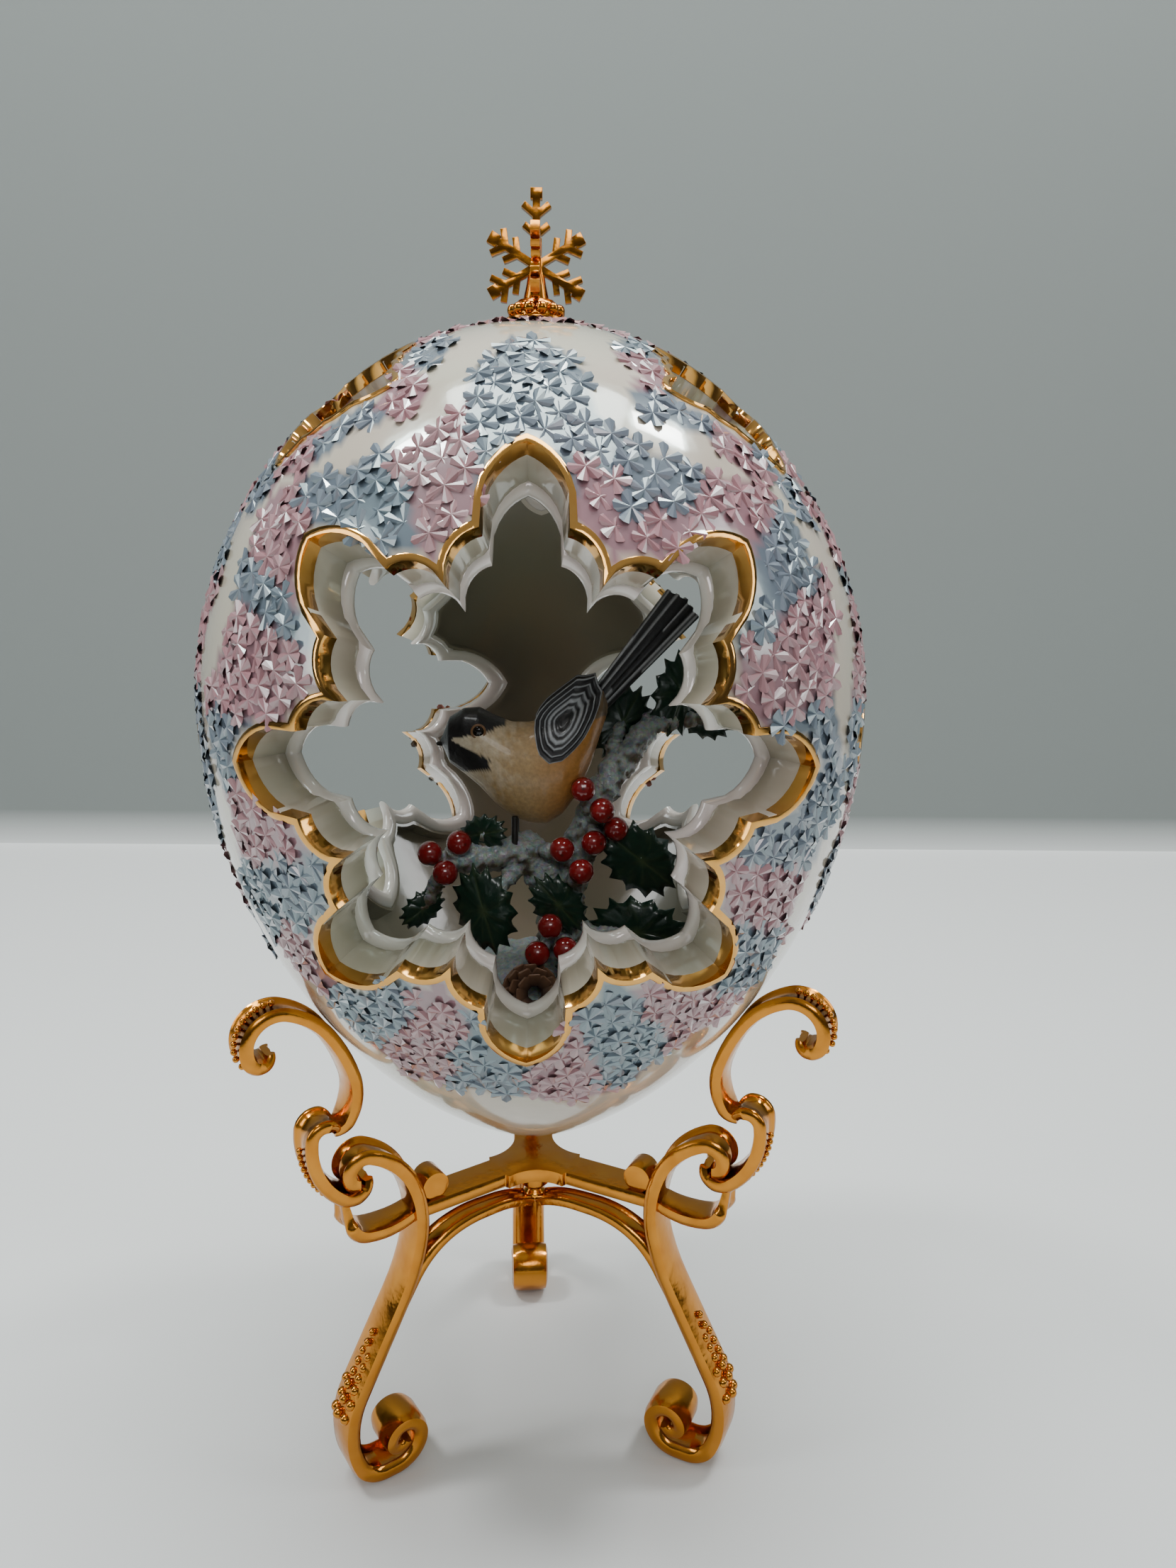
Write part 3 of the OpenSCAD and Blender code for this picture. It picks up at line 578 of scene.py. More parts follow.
random.seed(7)
spots = {1: [], -1: []}
golden = pi * (3 - sqrt(5))
for i in range(flower_spots):
    z = height * (1 - cos(acos(1 - 2 * (i + 0.5) / flower_spots))) / 2
    t = i * golden
    b = bloom(egg_point(z, t), flower_margin)
    if b:
        spots[b].append((z, t))
for b, name, colour, slot_name in ((1, "pink_flowers", (0.38, 0.205, 0.22), "pearl_porcelain"),
                                   (-1, "blue_flowers", (0.165, 0.205, 0.245), "pearl_porcelain")):
    one = flower_shape("flower")
    many = []
    for z, t in spots[b]:
        c = copied(one, "flower")
        size = random.uniform(2.2, 2.9)
        here = egg_point(z, t)
        out = (egg_point(z, t, 1) - here).normalized()
        tilt = Vector((random.uniform(-0.22, 0.22), random.uniform(-0.22, 0.22), 0))
        facing = (out + tilt).to_track_quat("Z", "Y").to_matrix().to_4x4()
        turn = facing @ Matrix.Rotation(random.uniform(0, 6.28), 4, "Z")
        c.data.transform(Matrix.Translation(here) @ turn @ Matrix.Diagonal((size, size, size * 0.55, 1)))
        peak = max((v.co - here).dot(out) for v in c.data.vertices)
        c.data.transform(Matrix.Translation(out * (flower_proud * mm - peak)))
        many.append(c)
    bpy.data.objects.remove(one)
    flowers = fused(name, many)
    flowers.data.materials.clear()
    flowers.data.materials.append(pearl(name.replace("_", " "), 0.15, None, colour))
    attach(flowers, "egg")


# Finial and hub: a gilt cast snowflake on a beaded collar, fixed with a stud, washer and nut in the crown,
# and the three-armed hub of the stand with its boss. Their edges are rounded by polishing.
def softened(node, name, width, sides=2, flatten=True):
    o = copied(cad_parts[node], name)
    o.parent = None
    o.matrix_world = Matrix.Identity(4)
    o.hide_render = o.hide_viewport = False
    tidy(o)
    if flatten:
        bpy.ops.object.mode_set(mode="EDIT")
        bpy.ops.mesh.select_all(action="SELECT")
        bpy.ops.mesh.dissolve_limited(angle_limit=radians(1))
        bpy.ops.object.mode_set(mode="OBJECT")
    b = o.modifiers.new("edges", "BEVEL")
    b.width, b.segments, b.limit_method, b.angle_limit = width * mm, sides, "ANGLE", radians(35)
    bpy.ops.object.modifier_apply(modifier=b.name)
    bpy.ops.object.shade_smooth_by_angle(angle=radians(35))
    o.data.materials.clear()
    return o


for node, name, width, m, slot_name in (("finial_collar", "gilt_collar", 0.12, gilt, "gilt"),
                                        ("finial_snowflake", "gilt_snowflake", 0.25, gilt, "gilt"),
                                        ("finial_washer", "washer_in_crown", 0.08, steel, "steel"),
                                        ("finial_nut", "nut_in_crown", 0.15, steel, "steel"),
                                        ("finial_stud", "stud_of_finial", 0.1, steel, "steel"),
                                        ("stand_spider", "gilt_spider", 0.12, gilt, "gilt"),
                                        ("spider_boss", "gilt_boss", 0.1, gilt, "gilt")):
    o = softened(node, name, width, 2, node != "stand_spider")
    o.data.materials.append(m)
    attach(o, "stand" if node in ("stand_spider", "spider_boss") else "egg")
    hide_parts(node)


# Scrolls, legs, leaf brackets and braces: cast straps with a raised rib along both edges, bent in arcs in
# each leg's upright plane and brazed together. Beads are set on the volutes and a sprig on each leg.
stand_turn = 3.7
scroll_w, scroll_t, leg_t, brace_t = 7.0, 2.5, 3, 2.2
bead_r, bead_off = 0.58, 1.3


def walk(p, h, arcs, step):
    # a pen that goes through arcs (radius, turn) or straights (length, 0) from a place and a heading
    pts = [(p[0], p[1], h)]
    for r, turn in arcs:
        x, y, h = pts[-1]
        if turn == 0:
            c = max(2, int(r))
            for j in range(1, c + 1):
                pts.append((x + r * j / c * cos(radians(h)), y + r * j / c * sin(radians(h)), h))
            continue
        s = 1 if turn > 0 else -1
        c = max(2, int(abs(turn) / step + 0.99))
        for j in range(1, c + 1):
            e = h + turn * j / c
            over_x, over_y = sin(radians(e)) - sin(radians(h)), cos(radians(e)) - cos(radians(h))
            pts.append((x + s * r * over_x, y - s * r * over_y, e))
    return pts


def reversed_walk(q):
    return [(x, y, h + 180) for x, y, h in q[::-1]]


def on_leg(x, side, z, turn):
    # a place in a leg's plane, or to the side of it
    a = radians(turn + stand_turn - 90)
    return Vector((x * cos(a) - side * sin(a), x * sin(a) + side * cos(a) + axis_y, z)) * mm


def strap(name, q, w0, w1, t, a, b, turn, side=1):
    # a strap t thick along a path, from width w0 to w1; its ends shrink to the shares a and b
    s = [(-0.5, 0.0), (-0.47, 0.36), (-0.40, 0.5), (-0.32, 0.42), (-0.24, 0.2), (0.0, 0.3), (0.24, 0.2),
         (0.32, 0.42), (0.40, 0.5), (0.47, 0.36), (0.5, 0.0), (0.46, -0.38), (0.3, -0.5), (-0.3, -0.5),
         (-0.46, -0.38)]
    clear()
    bpy.ops.mesh.primitive_circle_add(vertices=len(s), radius=1, fill_type="NGON")
    o = named(name)
    bpy.ops.object.mode_set(mode="EDIT")
    bm = bmesh.from_edit_mesh(o.data)
    ring = bm.verts[:]
    n = len(q)
    for i, (x, y, h) in enumerate(q):
        k = min(1, a + (1 - a) * i / (n * 0.16), b + (1 - b) * (n - 1 - i) / (n * 0.25))
        w = w0 + (w1 - w0) * i / (n - 1)
        for v, (u, d) in zip(ring, s):
            e = side * d * t * k
            v.co = on_leg(x - e * sin(radians(h)), u * w * k, y + e * cos(radians(h)), turn)
        if i < n - 1:
            end = [edge for edge in bm.edges if edge.verts[0] in ring and edge.verts[1] in ring]
            made = bmesh.ops.extrude_edge_only(bm, edges=end)
            ring = [v for v in made["geom"] if isinstance(v, bmesh.types.BMVert)]
    bm.faces.new(ring[::-1])
    bmesh.update_edit_mesh(o.data)
    bpy.ops.mesh.select_all(action="SELECT")
    bpy.ops.mesh.normals_make_consistent(inside=False)
    bpy.ops.object.mode_set(mode="OBJECT")
    bpy.ops.object.shade_smooth_by_angle(angle=radians(55))
    return o


def beads(spots_and_sizes):
    made = []
    for p, r in spots_and_sizes:
        clear()
        bpy.ops.mesh.primitive_ico_sphere_add(subdivisions=2, radius=r * mm, location=p)
        made.append(named("bead"))
        bpy.ops.object.transform_apply(location=True)
        bpy.ops.object.shade_smooth()
    return made


def along(q, turn, gap, first, last):
    # beads at equal steps along a stretch of a scroll, on its outer face
    out, run, due = [], 0.0, 0.0
    for (x0, y0, h0), (x1, y1, h1) in zip(q, q[1:]):
        run += hypot(x1 - x0, y1 - y0)
        if run >= due and first <= run <= last:
            at_x, at_z = x1 - bead_off * sin(radians(h1)), y1 + bead_off * cos(radians(h1))
            out.append((on_leg(at_x, 0, at_z, turn), bead_r))
            due = run + gap
    return out


def sprig(q, turn):
    # berries in a tapering bunch on the outer face of the lower leg
    out, due = [], 15.5
    for x, y, h in q:
        if due < y < 31 and 40 < h < 140:
            k = (y - 15) / 16
            row = len(out) % 2
            across = (-2.0, -0.1, 1.9) if k < 0.4 else (-1.2, 1.1) if k < 0.75 else (0.3 - 0.6 * row,)
            for side in across:
                lift = 1.35 + 0.5 * (abs(side) < 1)
                up_x, up_y = x + lift * sin(radians(h)), y - lift * cos(radians(h))
                out.append((on_leg(up_x, side + 0.5 * row, up_y, turn), 1.1 - 0.4 * k))
            due = y + 1.5
    return out


cradle, cradle_slope = (42.04, 92.5), 55.9
foot = (33.6, 1.5)
foot_roll = [(1, 0), (5.2, -90), (3.4, -90), (2.7, -90), (2, -90), (1.4, -60)]
leg_rise = [(1, 0), (5.5, 66), (17, 52), (18.5, 0), (41, -16), (22, -34), (15, -43), (2.9, -130), (2, -70)]
for side_name, turn in (("left", -60), ("right", 60), ("rear", 180)):
    upper = reversed_walk(walk(cradle, cradle_slope + 180, [(31, 18), (10.5, 48), (2.6, 60)], 4))
    upper += walk(cradle, cradle_slope, [(14.4, -35), (5.1, -128), (2.4, -82), (1.4, -90)], 4)[1:]
    middle = walk((41.1, 74.2), 77, [(2.4, -160), (14, -58), (3.3, -80), (2, -60)], 5)
    leg = reversed_walk(walk(foot, 180, foot_roll, 6)) + walk(foot, 0, leg_rise, 5)[1:]
    leaf = walk((27.2, 52.8), -20, [(16, 32), (4.6, 70), (4.6, 0)], 5)
    brace = walk((1.4, 45.6), 24, [(20, -24), (3, 0), (20, -16), (16, -44), (6.5, 0)], 4)
    slim, broad = scroll_w * 0.9, scroll_w * 1.05
    pieces = [("upper_scroll", [strap("s", upper, slim, broad, scroll_t, 0.7, 0.6, turn)] +
               beads(along(upper, turn, 1.0, 31.5, 43.5))),
              ("middle_scroll", [strap("s", middle, scroll_w, broad, scroll_t, 0.7, 0.7, turn)] +
               beads(along(middle, turn, 1.1, 8, 20.5))),
              ("leg", [strap("s", leg, 9, 6.5, leg_t, 0.8, 0.9, turn)] +
               beads([(on_leg(31.7, 0, 8.7, turn), 1.7)] + sprig(leg, turn))),
              ("leaf", [strap("s", leaf, slim, scroll_w * 1.1, scroll_t, 0.9, 0.5, turn, -1)]),
              ("brace", [strap("s", brace, 4, 6.5, brace_t, 1, 0.9, turn)] +
               beads([(on_leg(17.6, 0, 46.2, turn), 1.1)]))]
    for kind, made in pieces:
        o = fused(f"gilt_{kind}_{side_name}", made)
        o.data.materials.clear()
        o.data.materials.append(gilt)
        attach(o, "stand")
        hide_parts(f"{kind}_{side_name}")


# The snow mound in the bottom of the egg, and the branch that rises from it with its crust of snow: both are
# rough modelled clay, blue-white on top and brown below.
def crusted(node, name, cell, rough, seed, swell):
    o = softened(node, name, 0.05, 1)
    m = o.modifiers.new("clay", "REMESH")
    m.mode, m.voxel_size = "VOXEL", cell * mm
    clear()
    o.select_set(True)
    bpy.context.view_layer.objects.active = o
    bpy.ops.object.modifier_apply(modifier=m.name)
    at = Vector((seed, 0, 0))
    push = []
    for v in o.data.vertices:
        q = v.co / mm
        lumps = noise.noise(q * 0.55 + at) + 0.6 * noise.noise(q * 1.5 + at)
        push.append(v.normal * rough * (lumps + swell))
    for v, d in zip(o.data.vertices, push):
        v.co += d * mm
    o.data.update()
    shade = o.data.color_attributes.new("crust", "FLOAT_COLOR", "POINT")
    for i, v in enumerate(o.data.vertices):
        q = v.co / mm
        k = v.normal.z + 1.1 * noise.noise(q * 0.4 + at) + 0.5 * noise.noise(q * 1.3)
        white, brown = Vector((0.36, 0.40, 0.39)), Vector((0.12, 0.10, 0.065))
        if noise.noise(q * 0.9 - at) > 0.25:
            white = Vector((0.23, 0.30, 0.32))
        f = min(1, max(0, (k + 0.45) * 2.5))
        shade.data[i].color = (*(brown.lerp(white, f)), 1)
    bpy.ops.object.shade_smooth()
    o.data.materials.append(snow_clay)
    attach(o, "egg")
    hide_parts(node)
    return o


snow_clay, n, k, s = plain("snow crust", (0.5, 0.55, 0.58), 0.5)
tint = n.new("ShaderNodeAttribute")
tint.attribute_name = "crust"
where, grain, speck = n.new("ShaderNodeTexCoord"), n.new("ShaderNodeTexNoise"), n.new("ShaderNodeMix")
grain.inputs["Scale"].default_value, grain.inputs["Detail"].default_value = 1500, 4
speck.data_type, speck.blend_type = "RGBA", "OVERLAY"
speck.inputs[0].default_value = 0.6
bump = n.new("ShaderNodeBump")
bump.inputs["Strength"].default_value, bump.inputs["Distance"].default_value = 0.8, 0.0005
k.new(where.outputs["Object"], grain.inputs["Vector"])
k.new(tint.outputs["Color"], speck.inputs[6])
k.new(grain.outputs["Color"], speck.inputs[7])
k.new(speck.outputs[2], s.inputs["Base Color"])
k.new(grain.outputs["Fac"], bump.inputs["Height"])
k.new(bump.outputs["Normal"], s.inputs["Normal"])
s.inputs["Coat Weight"].default_value = 0.3
crusted("snow_base", "snow_mound", 0.9, 0.9, 3, -0.3)
crusted("branch", "snowy_branch", 0.55, 0.9, 8, 0.75)


# Holly: thin glazed leaves with drawn-out spines, a raised midrib and edges that curl up and down in turn.
# Each is set on the branch or the mound by its place, the lean of its tip, its turn and its size.
def painted(name, attribute, rough, coat, bump_scale=900, bump_size=0.0002):
    m, n, k, s = plain(name, (0.5, 0.5, 0.5), rough)
    a = n.new("ShaderNodeAttribute")
    a.attribute_name = attribute
    where, cloud, mix = n.new("ShaderNodeTexCoord"), n.new("ShaderNodeTexNoise"), n.new("ShaderNodeMix")
    cloud.inputs["Scale"].default_value, cloud.inputs["Detail"].default_value = bump_scale, 2
    mix.data_type, mix.blend_type = "RGBA", "OVERLAY"
    mix.inputs[0].default_value = 0.35
    b = n.new("ShaderNodeBump")
    b.inputs["Strength"].default_value, b.inputs["Distance"].default_value = 0.4, bump_size
    k.new(where.outputs["Object"], cloud.inputs["Vector"])
    k.new(a.outputs["Color"], mix.inputs[6])
    k.new(cloud.outputs["Fac"], mix.inputs[7])
    k.new(mix.outputs[2], s.inputs["Base Color"])
    k.new(cloud.outputs["Fac"], b.inputs["Height"])
    k.new(b.outputs["Normal"], s.inputs["Normal"])
    s.inputs["Coat Weight"].default_value = coat
    return m


leaf_places = [((26.4, 4.5, 84.6), 75, 20, 1), ((31, 5.4, 80), -20, -15, 0.72),
               ((15.8, 4.6, 79), 62, 10, 0.9), ((19.2, -4, 55.2), -40, 15, 1.08),
               ((19, -6.4, 42.4), -5, -12, 1.15), ((4.4, -8.6, 48.2), -50, 8, 0.8),
               ((-8.6, -10, 47.6), -75, -10, 1.02), ((-9, -5.5, 60.4), 15, -25, 0.6),
               ((-20, -8, 47), 215, 20, 0.55), ((7.4, -11, 37.6), 250, 20, 0.6)]
leaf_long, leaf_wide, spines = 7.4, 5.0, 14
made = []
for at, lean, yaw_turn, share in leaf_places:
    clear()
    bpy.ops.mesh.primitive_circle_add(vertices=56, radius=1, fill_type="TRIFAN")
    o = named("leaf")
    bm = bmesh.new()
    bm.from_mesh(o.data)
    bmesh.ops.inset_region(bm, faces=bm.faces[:], thickness=0.3)
    spokes = [e for e in bm.edges if min(v.co.length for v in e.verts) < 0.05]
    bmesh.ops.subdivide_edges(bm, edges=spokes, cuts=3)
    for v in bm.verts:
        a, d = atan2(v.co.y, v.co.x), v.co.length
        tooth = abs(((a / (2 * pi / spines) + 0.5) % 1) - 0.5) * 2
        k = 0.90 + 0.24 * (1 - tooth) ** 1.8
        edge = d ** 3
        grow = d * (1 + edge * (k - 1))
        x, y = leaf_long * grow * cos(a), leaf_wide * grow * sin(a)
        curl = 0.55 * edge * (1 - tooth) * (1 if int((a + pi) / (pi / 7)) % 2 else -0.4)
        midrib = 0.28 * max(0, 1 - abs(y) * 2.2)
        veins = 0.14 * cos(x * 2.6 - abs(y) * 2.2) * min(1, abs(y))
        z = 0.9 - 0.055 * y * y - 0.012 * x * x + curl - midrib + veins
        v.co = Vector((x, y, z)) * share
    bm.to_mesh(o.data)
    bm.free()
    thick = o.modifiers.new("thick", "SOLIDIFY")
    thick.thickness, thick.offset = 0.6, 0
    bpy.ops.object.modifier_apply(modifier=thick.name)
    bpy.ops.object.shade_smooth()
    green = o.data.color_attributes.new("leaf", "FLOAT_COLOR", "POINT")
    for i, v in enumerate(o.data.vertices):
        rib = max(0, 1 - abs(v.co.y) / 0.35)
        vein = 0.3 if cos(v.co.x * 2.6 / share - abs(v.co.y) * 2.2 / share) > 0.86 else 0
        f = min(1, 0.75 * rib + vein)
        green.data[i].color = (0.007 + 0.05 * f, 0.032 + 0.06 * f, 0.019 + 0.02 * f, 1)
    place = Matrix.Translation((at[0], at[1] + axis_y, at[2] + egg_low))
    place = place @ Matrix.Rotation(radians(yaw_turn), 4, "Z") @ Matrix.Rotation(pi / 2, 4, "X")
    o.data.transform(Matrix.Diagonal((mm, mm, mm, 1)) @ place @ Matrix.Rotation(radians(lean), 4, "Z"))
    made.append(o)
holly = fused("holly_leaves_glazed", made)
holly.data.materials.append(painted("holly glaze", "leaf", 0.28, 0.5))
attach(holly, "egg")
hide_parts("holly_leaves")


# Berries: glossy red balls in clusters between the leaves, each with the small dark eye of the flower's end
# toward the front. They are glazed apart and cemented to the branch.
berry_places = [(8.6, -7.5, 69), (12, -8.2, 65.4), (14.6, -6, 61.4), (5, -9, 58.4), (10.6, -8, 59.4),
                (8.4, -11, 55), (-18.4, -8, 57.2), (-13.2, -8, 59.2), (-15.4, -11, 54.6), (3, -12, 45.2),
                (5.8, -13.4, 41.4), (0.8, -13.4, 40.6), (-9, -12, 37)]
berry_r = 2.25
made = []
for i, at in enumerate(berry_places):
    clear()
    bpy.ops.mesh.primitive_uv_sphere_add(segments=24, ring_count=16, radius=1)
    o = named("berry")
    red = o.data.color_attributes.new("berry", "FLOAT_COLOR", "POINT")
    for j, v in enumerate(o.data.vertices):
        d = v.co.z
        red.data[j].color = (0.05, 0.012, 0.01, 1) if d > 0.988 else (0.24, 0.008, 0.010, 1)
        v.co = v.co * (berry_r - 0.22 * max(0, d - 0.9) * 10 + 0.12 * max(0, d - 0.97) * 30)
    aim = Vector((0.9 * sin(i * 2.1), -1, 0.8 * cos(i * 1.7) - 0.5)).to_track_quat("Z", "Y")
    place = Matrix.Translation((at[0], at[1] + axis_y, at[2] + egg_low)) @ aim.to_matrix().to_4x4()
    o.data.transform(Matrix.Diagonal((mm, mm, mm, 1)) @ place)
    bpy.ops.object.shade_smooth()
    made.append(o)
berries = fused("holly_berries_glazed", made)
berries.data.materials.append(painted("berry glaze", "berry", 0.14, 0.8, 300, 0.0001))
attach(berries, "egg")
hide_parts("holly_berries")


# Pine cone: overlapping blunt scales in turned rows, dark brown with paler tips. It lies on its side at the
# front of the mound, with its end toward the viewer.
made = []
for row in range(7):
    for j in range(8):
        clear()
        bpy.ops.mesh.primitive_cube_add(size=1)
        o = named("scale")
        f = row / 6
        radius = 1.3 + 3.2 * sin(pi * (0.12 + 0.80 * f)) ** 0.8
        for v in o.data.vertices:
            if v.co.x > 0:
                v.co = Vector((radius + 0.55, v.co.y * 2.1, v.co.z * 0.9 + 0.8))
            else:
                v.co = Vector((radius - 1.6, v.co.y * 3.0, v.co.z * 0.5))
        bevel = o.modifiers.new("round", "BEVEL")
        bevel.width, bevel.segments = 0.22, 1
        bpy.ops.object.modifier_apply(modifier=bevel.name)
        brown = o.data.color_attributes.new("cone", "FLOAT_COLOR", "POINT")
        for i, v in enumerate(o.data.vertices):
            c = min(1, max(0, (v.co.x - radius + 0.2) * 1.6))
            brown.data[i].color = (0.035 + 0.16 * c, 0.016 + 0.085 * c, 0.01 + 0.045 * c, 1)
        round_cone = Matrix.Rotation(2 * pi * (j + 0.5 * row) / 8, 4, "Z")
        o.data.transform(Matrix.Translation((0, 0, 5.2 - 10.4 * f)) @ round_cone)
        made.append(o)
cone = fused("pine_cone_of_scales", made)
lying = Matrix.Rotation(radians(12), 4, "Z") @ Matrix.Rotation(radians(70), 4, "X")
place = Matrix.Translation((-0.5, -14.6 + axis_y, 34.0 + egg_low)) @ lying
cone.data.transform(Matrix.Diagonal((mm, mm, mm, 1)) @ place)
cone.data.materials.append(painted("cone brown", "cone", 0.45, 0.2))
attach(cone, "egg")
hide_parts("pine_cone")


# The songbird's body: round-headed, with a dark cap and bib, pale cheek, tawny breast and flank. Painted
# porcelain with a satin glaze. Each station gives a place along it, and its underside and back there.
bird_at = Vector((-2.2, -1 + axis_y, egg_low + 70.5))
long, deep, wide = 28.5, 18.6, 15.5
stations = [(-0.52, 0.8, 0.82), (-0.5, 0.74, 0.88), (-0.46, 0.6, 1.04), (-0.37, 0.5, 1.13),
            (-0.27, 0.37, 1.14), (-0.17, 0.2, 1.06), (-0.07, 0.08, 1), (0.04, 0.01, 1), (0.15, 0, 1.04),
            (0.25, 0.1, 1.12), (0.35, 0.31, 1.21), (0.43, 0.6, 1.29), (0.5, 0.95, 1.33), (0.53, 1.1, 1.2)]


def section(x):
    # middle height and half height of the body at a place along it
    x = min(0.529, max(-0.519, x / long))
    for (a, lo, hi), (b, lo2, hi2) in zip(stations, stations[1:]):
        if x <= b:
            f = (x - a) / (b - a)
            lo, hi = lo + (lo2 - lo) * f, hi + (hi2 - hi) * f
            return (lo + hi) / 2 * deep - deep / 2, (hi - lo) / 2 * deep
    return 0, 0


def flank(x, z):
    c, r = section(x)
    return wide / deep * 0.95 * sqrt(max(0.16 * r * r, r * r - (z - c) ** 2))


clear()
bpy.ops.mesh.primitive_uv_sphere_add(segments=96, ring_count=96, radius=1, rotation=(0, pi / 2, 0))
bpy.ops.object.transform_apply(rotation=True)
body = named("songbird_body")
feathers = body.data.color_attributes.new("feathers", "FLOAT_COLOR", "POINT")
black, buff = (0.008, 0.008, 0.010), (0.42, 0.28, 0.13)
cheek, tawny = (0.66, 0.58, 0.43), (0.42, 0.19, 0.045)
for i, v in enumerate(body.data.vertices):
    t = acos(max(-1, min(1, v.co.x)))
    x = long * (0.005 - 0.525 * cos(t))
    side = atan2(v.co.y, v.co.z)
    c, r = section(x)
    if abs(v.co.x) > 0.9999:
        r = 0
    v.co = Vector((x, wide / deep * 0.95 * r * sin(side), c + r * cos(side)))
    x, z = v.co.x, v.co.z
    wobble = 0.35 * noise.noise(Vector((x, z, 3)) * 1.2)
    f = min(1, max(0, (x + 9) / 12 + (1 - z / 8) * 0.15 + wobble))
    colour = Vector(cheek).lerp(Vector(buff), min(1, f * 1.3))
    colour = colour.lerp(Vector(tawny), min(1, max(0, (x - 1 + wobble) / 7)))
    if x > -3 and z > 10.8 + wobble:
        colour = Vector((0.17, 0.115, 0.06))
    if x < -3.0 and z > 6.6 + 0.24 * (x + 13.4) + 0.5 * wobble:
        colour = Vector(black)
    if x < -5.6 + wobble and z < 6.9 - 0.42 * (x + 13.4) and z > 0.6 + 0.2 * abs(x + 10.9):
        colour = Vector(black)
    feathers.data[i].color = (*colour, 1)
body.data.transform(Matrix.Diagonal((mm, mm, mm, 1)) @ Matrix.Translation(bird_at))
tidy(body)
bpy.ops.object.shade_smooth()
plumage = painted("painted plumage", "feathers", 0.42, 0.25, 1400, 0.00025)
body.data.materials.append(plumage)
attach(body, "egg")
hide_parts("bird_body")


# Wings: a folded wing on each flank, one smooth raised shape whose long feathers are drawn as pale bars that
# follow its edge, the way folded feathers lap.
wing_line = [(2.0, 10.2), (4.2, 13.2), (7.5, 15.7), (14.2, 19.8), (13.6, 13.0), (11.1, 7.6), (8, 4.4),
             (4.5, 2.2), (2.6, 5.6)]
hub = Vector((7.2, 10.2))


def wing_reach(a):
    best = 0
    for p, q in zip(wing_line, wing_line[1:] + wing_line[:1]):
        p, q = Vector(p) - hub, Vector(q) - hub
        d = Vector((cos(a), sin(a)))
        e = q - p
        den = d.x * e.y - d.y * e.x
        if abs(den) > 1e-9:
            t = (p.x * e.y - p.y * e.x) / den
            u = (p.x * d.y - p.y * d.x) / den
            if t > 0 and -1e-6 <= u <= 1 + 1e-6:
                best = max(best, t)
    return best


wings = []
for side in (-1, 1):
    clear()
    bpy.ops.mesh.primitive_uv_sphere_add(segments=120, ring_count=60, radius=1)
    o = named("wing")
    bars = o.data.color_attributes.new("feathers", "FLOAT_COLOR", "POINT")
    for i, v in enumerate(o.data.vertices):
        a, rho, up = atan2(v.co.y, v.co.x), hypot(v.co.x, v.co.y), v.co.z
        d = rho * (wing_reach(a - 0.3) + 2 * wing_reach(a) + wing_reach(a + 0.3)) / 4
        x, z = hub.x + d * cos(a), hub.y + d * sin(a)
        lap = (1 - rho) * 9
        past_shoulder = (x - 2.0) * 0.5 + (10.5 - z) * 0.35 > 0.2
        bar = lap % 1.5 < 0.42 and 0.4 < lap < 6.6 and past_shoulder or 0.1 < lap < 0.35
        bars.data[i].color = (0.40, 0.42, 0.44, 1) if bar else (*black, 1)
        v.co = Vector((x, side * (flank(x, z) * 0.97 + 0.85 * up + 0.15 * sin(lap * 4.2)), z))
    o.data.transform(Matrix.Diagonal((mm, mm, mm, 1)) @ Matrix.Translation(bird_at))
    tidy(o)
    bpy.ops.object.shade_smooth()
    wings.append(o)
wings = fused("songbird_wings", wings)
wings.data.materials.clear()
wings.data.materials.append(plumage)
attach(wings, "egg")
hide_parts("bird_wings")


# Tail: long, straight and slightly hollow, widening to a notched end, black with fine white feather edges.
# It points up over the bird's back.
clear()
bpy.ops.mesh.primitive_grid_add(x_subdivisions=48, y_subdivisions=28, size=2)
tail = named("songbird_tail")
for v in tail.data.vertices:
    down, across = (v.co.x + 1) / 2, v.co.y
    half = 1.7 + 1.9 * down
    notch = 0.9 * (1 - abs(across)) - 0.4 * abs(sin(across * 7))
    run = -1 + 25.2 * down + notch * max(0, down - 0.9) * 10
    v.co = Vector((run, across * half, -0.35 * across * across + 0.10 * sin(across * 14)))
thick = tail.modifiers.new("thick", "SOLIDIFY")
thick.thickness, thick.offset = 1.3, 0
bpy.ops.object.modifier_apply(modifier=thick.name)
lines = tail.data.color_attributes.new("feathers", "FLOAT_COLOR", "POINT")
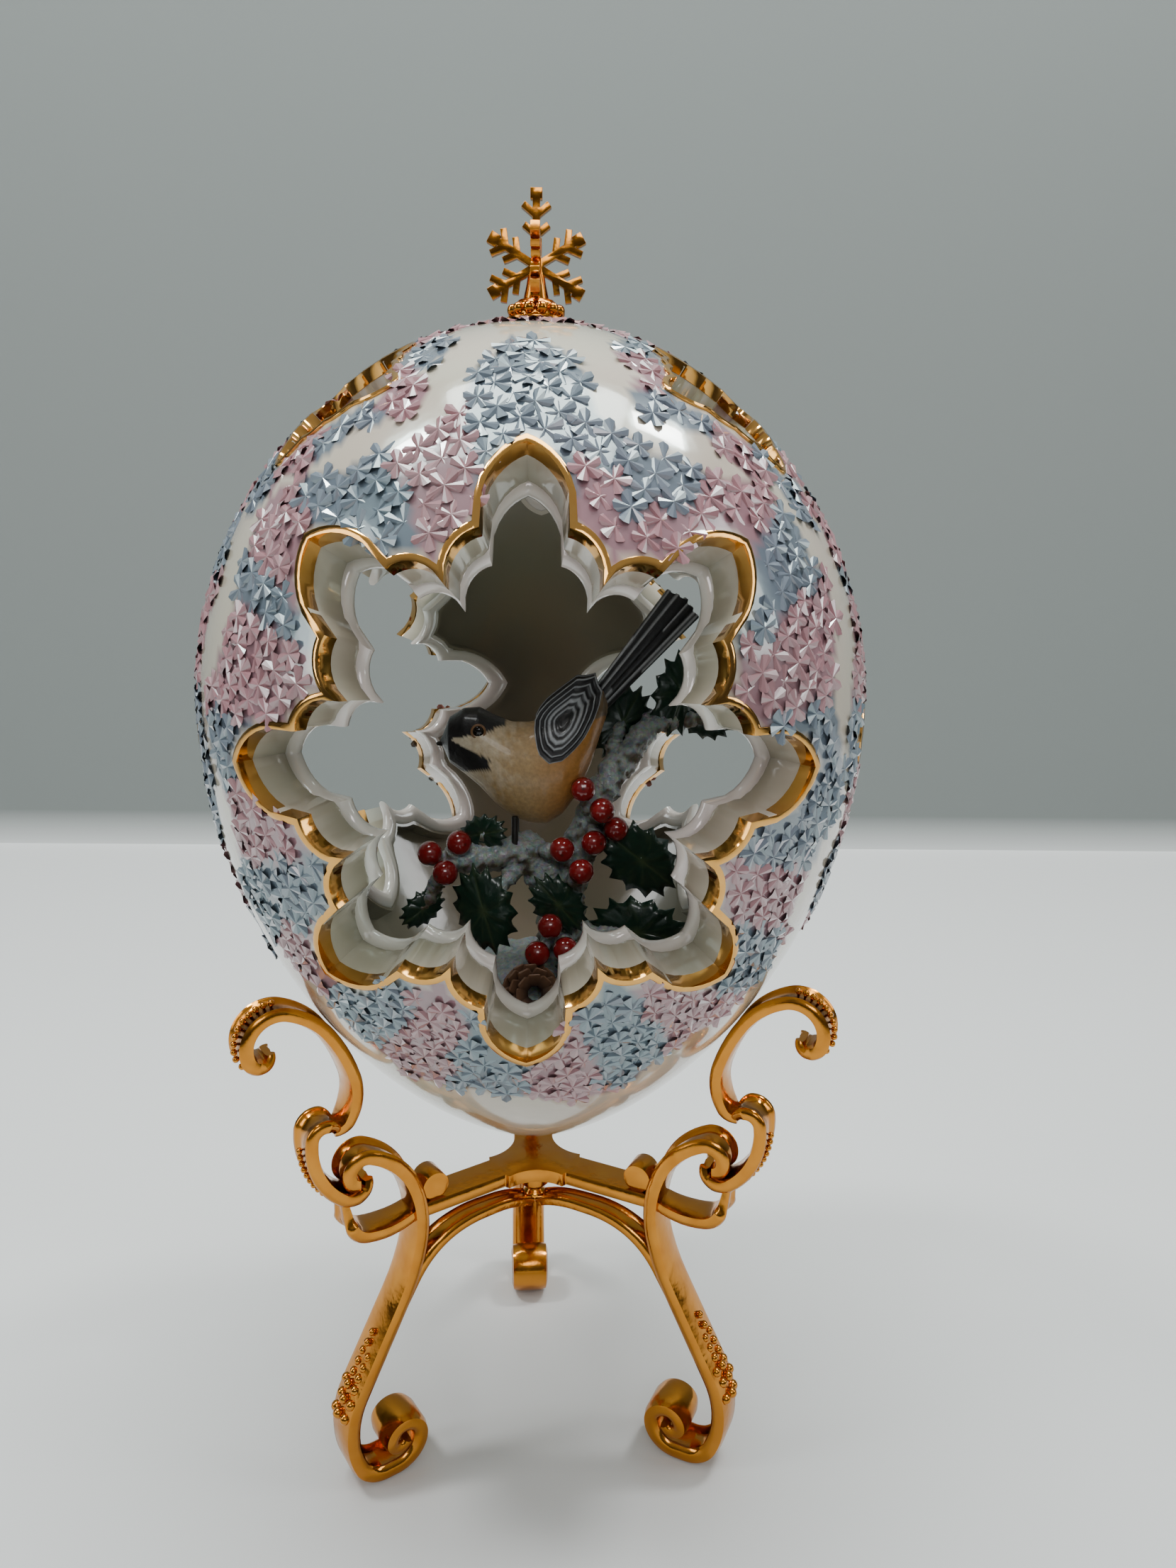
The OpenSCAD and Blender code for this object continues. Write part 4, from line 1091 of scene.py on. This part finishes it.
for i, v in enumerate(tail.data.vertices):
    across = v.co.y / (1.7 + 1.9 * (v.co.x + 1) / 25.2)
    white = abs(abs(across) - 0.93) < 0.06 or abs(across + 0.66) < 0.035
    white = white or abs(across - 0.45) < 0.03 or abs(across + 0.18) < 0.03
    lines.data[i].color = (0.36, 0.37, 0.38, 1) if white else (*black, 1)
place = Matrix.Translation(bird_at + Vector((0.44 * long, 0, 0.66 * deep)))
place = place @ Matrix.Rotation(pi / 2, 4, "X") @ Matrix.Rotation(radians(50), 4, "Z")
tail.data.transform(Matrix.Diagonal((mm, mm, mm, 1)) @ place)
bpy.ops.object.shade_smooth_by_angle(angle=radians(45))
tail.data.materials.append(plumage)
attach(tail, "egg")
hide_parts("bird_tail")


# Beak, legs and eyes: dark horn for the beak, legs and toes, and a glossy bead in a thin brown ring for each
# eye, set on the side of the head.
horn, n, k, s = plain("dark horn", (0.02, 0.018, 0.016), 0.3)
glass, n, k, s = plain("eye glaze", (0.006, 0.004, 0.003), 0.06)
ring, n, k, s = plain("eye ring", (0.20, 0.10, 0.04), 0.4)
for node, name, m in (("bird_beak", "songbird_beak", horn), ("bird_legs", "songbird_legs", horn)):
    o = softened(node, name, 0.15)
    if node == "bird_beak":
        o.data.transform(Matrix.Translation((1.9 * mm, 0, -0.2 * mm)))
    o.data.materials.append(m)
    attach(o, "egg")
    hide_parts(node)
eye_x, eye_z = -7.6, 8.3
for side in (-1, 1):
    at = bird_at + Vector((eye_x, side * (flank(eye_x, eye_z) - 0.15), eye_z))
    for name, m in (("eye", glass), ("eye_ring", ring)):
        clear()
        if name == "eye_ring":
            bpy.ops.mesh.primitive_torus_add(major_segments=28, minor_segments=8, major_radius=1.15 * mm,
                                             minor_radius=0.24 * mm, location=at * mm,
                                             rotation=(radians(90 + side * 12), 0, 0))
        else:
            bpy.ops.mesh.primitive_uv_sphere_add(segments=24, ring_count=16, radius=1.0 * mm,
                                                 location=at * mm)
            bpy.ops.transform.resize(value=(1, 0.6, 1))
        o = named(f"songbird_{name}_{'right' if side < 0 else 'left'}")
        bpy.ops.object.transform_apply(location=True, rotation=True, scale=True)
        bpy.ops.object.shade_smooth()
        o.data.materials.append(m)
        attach(o, "egg")
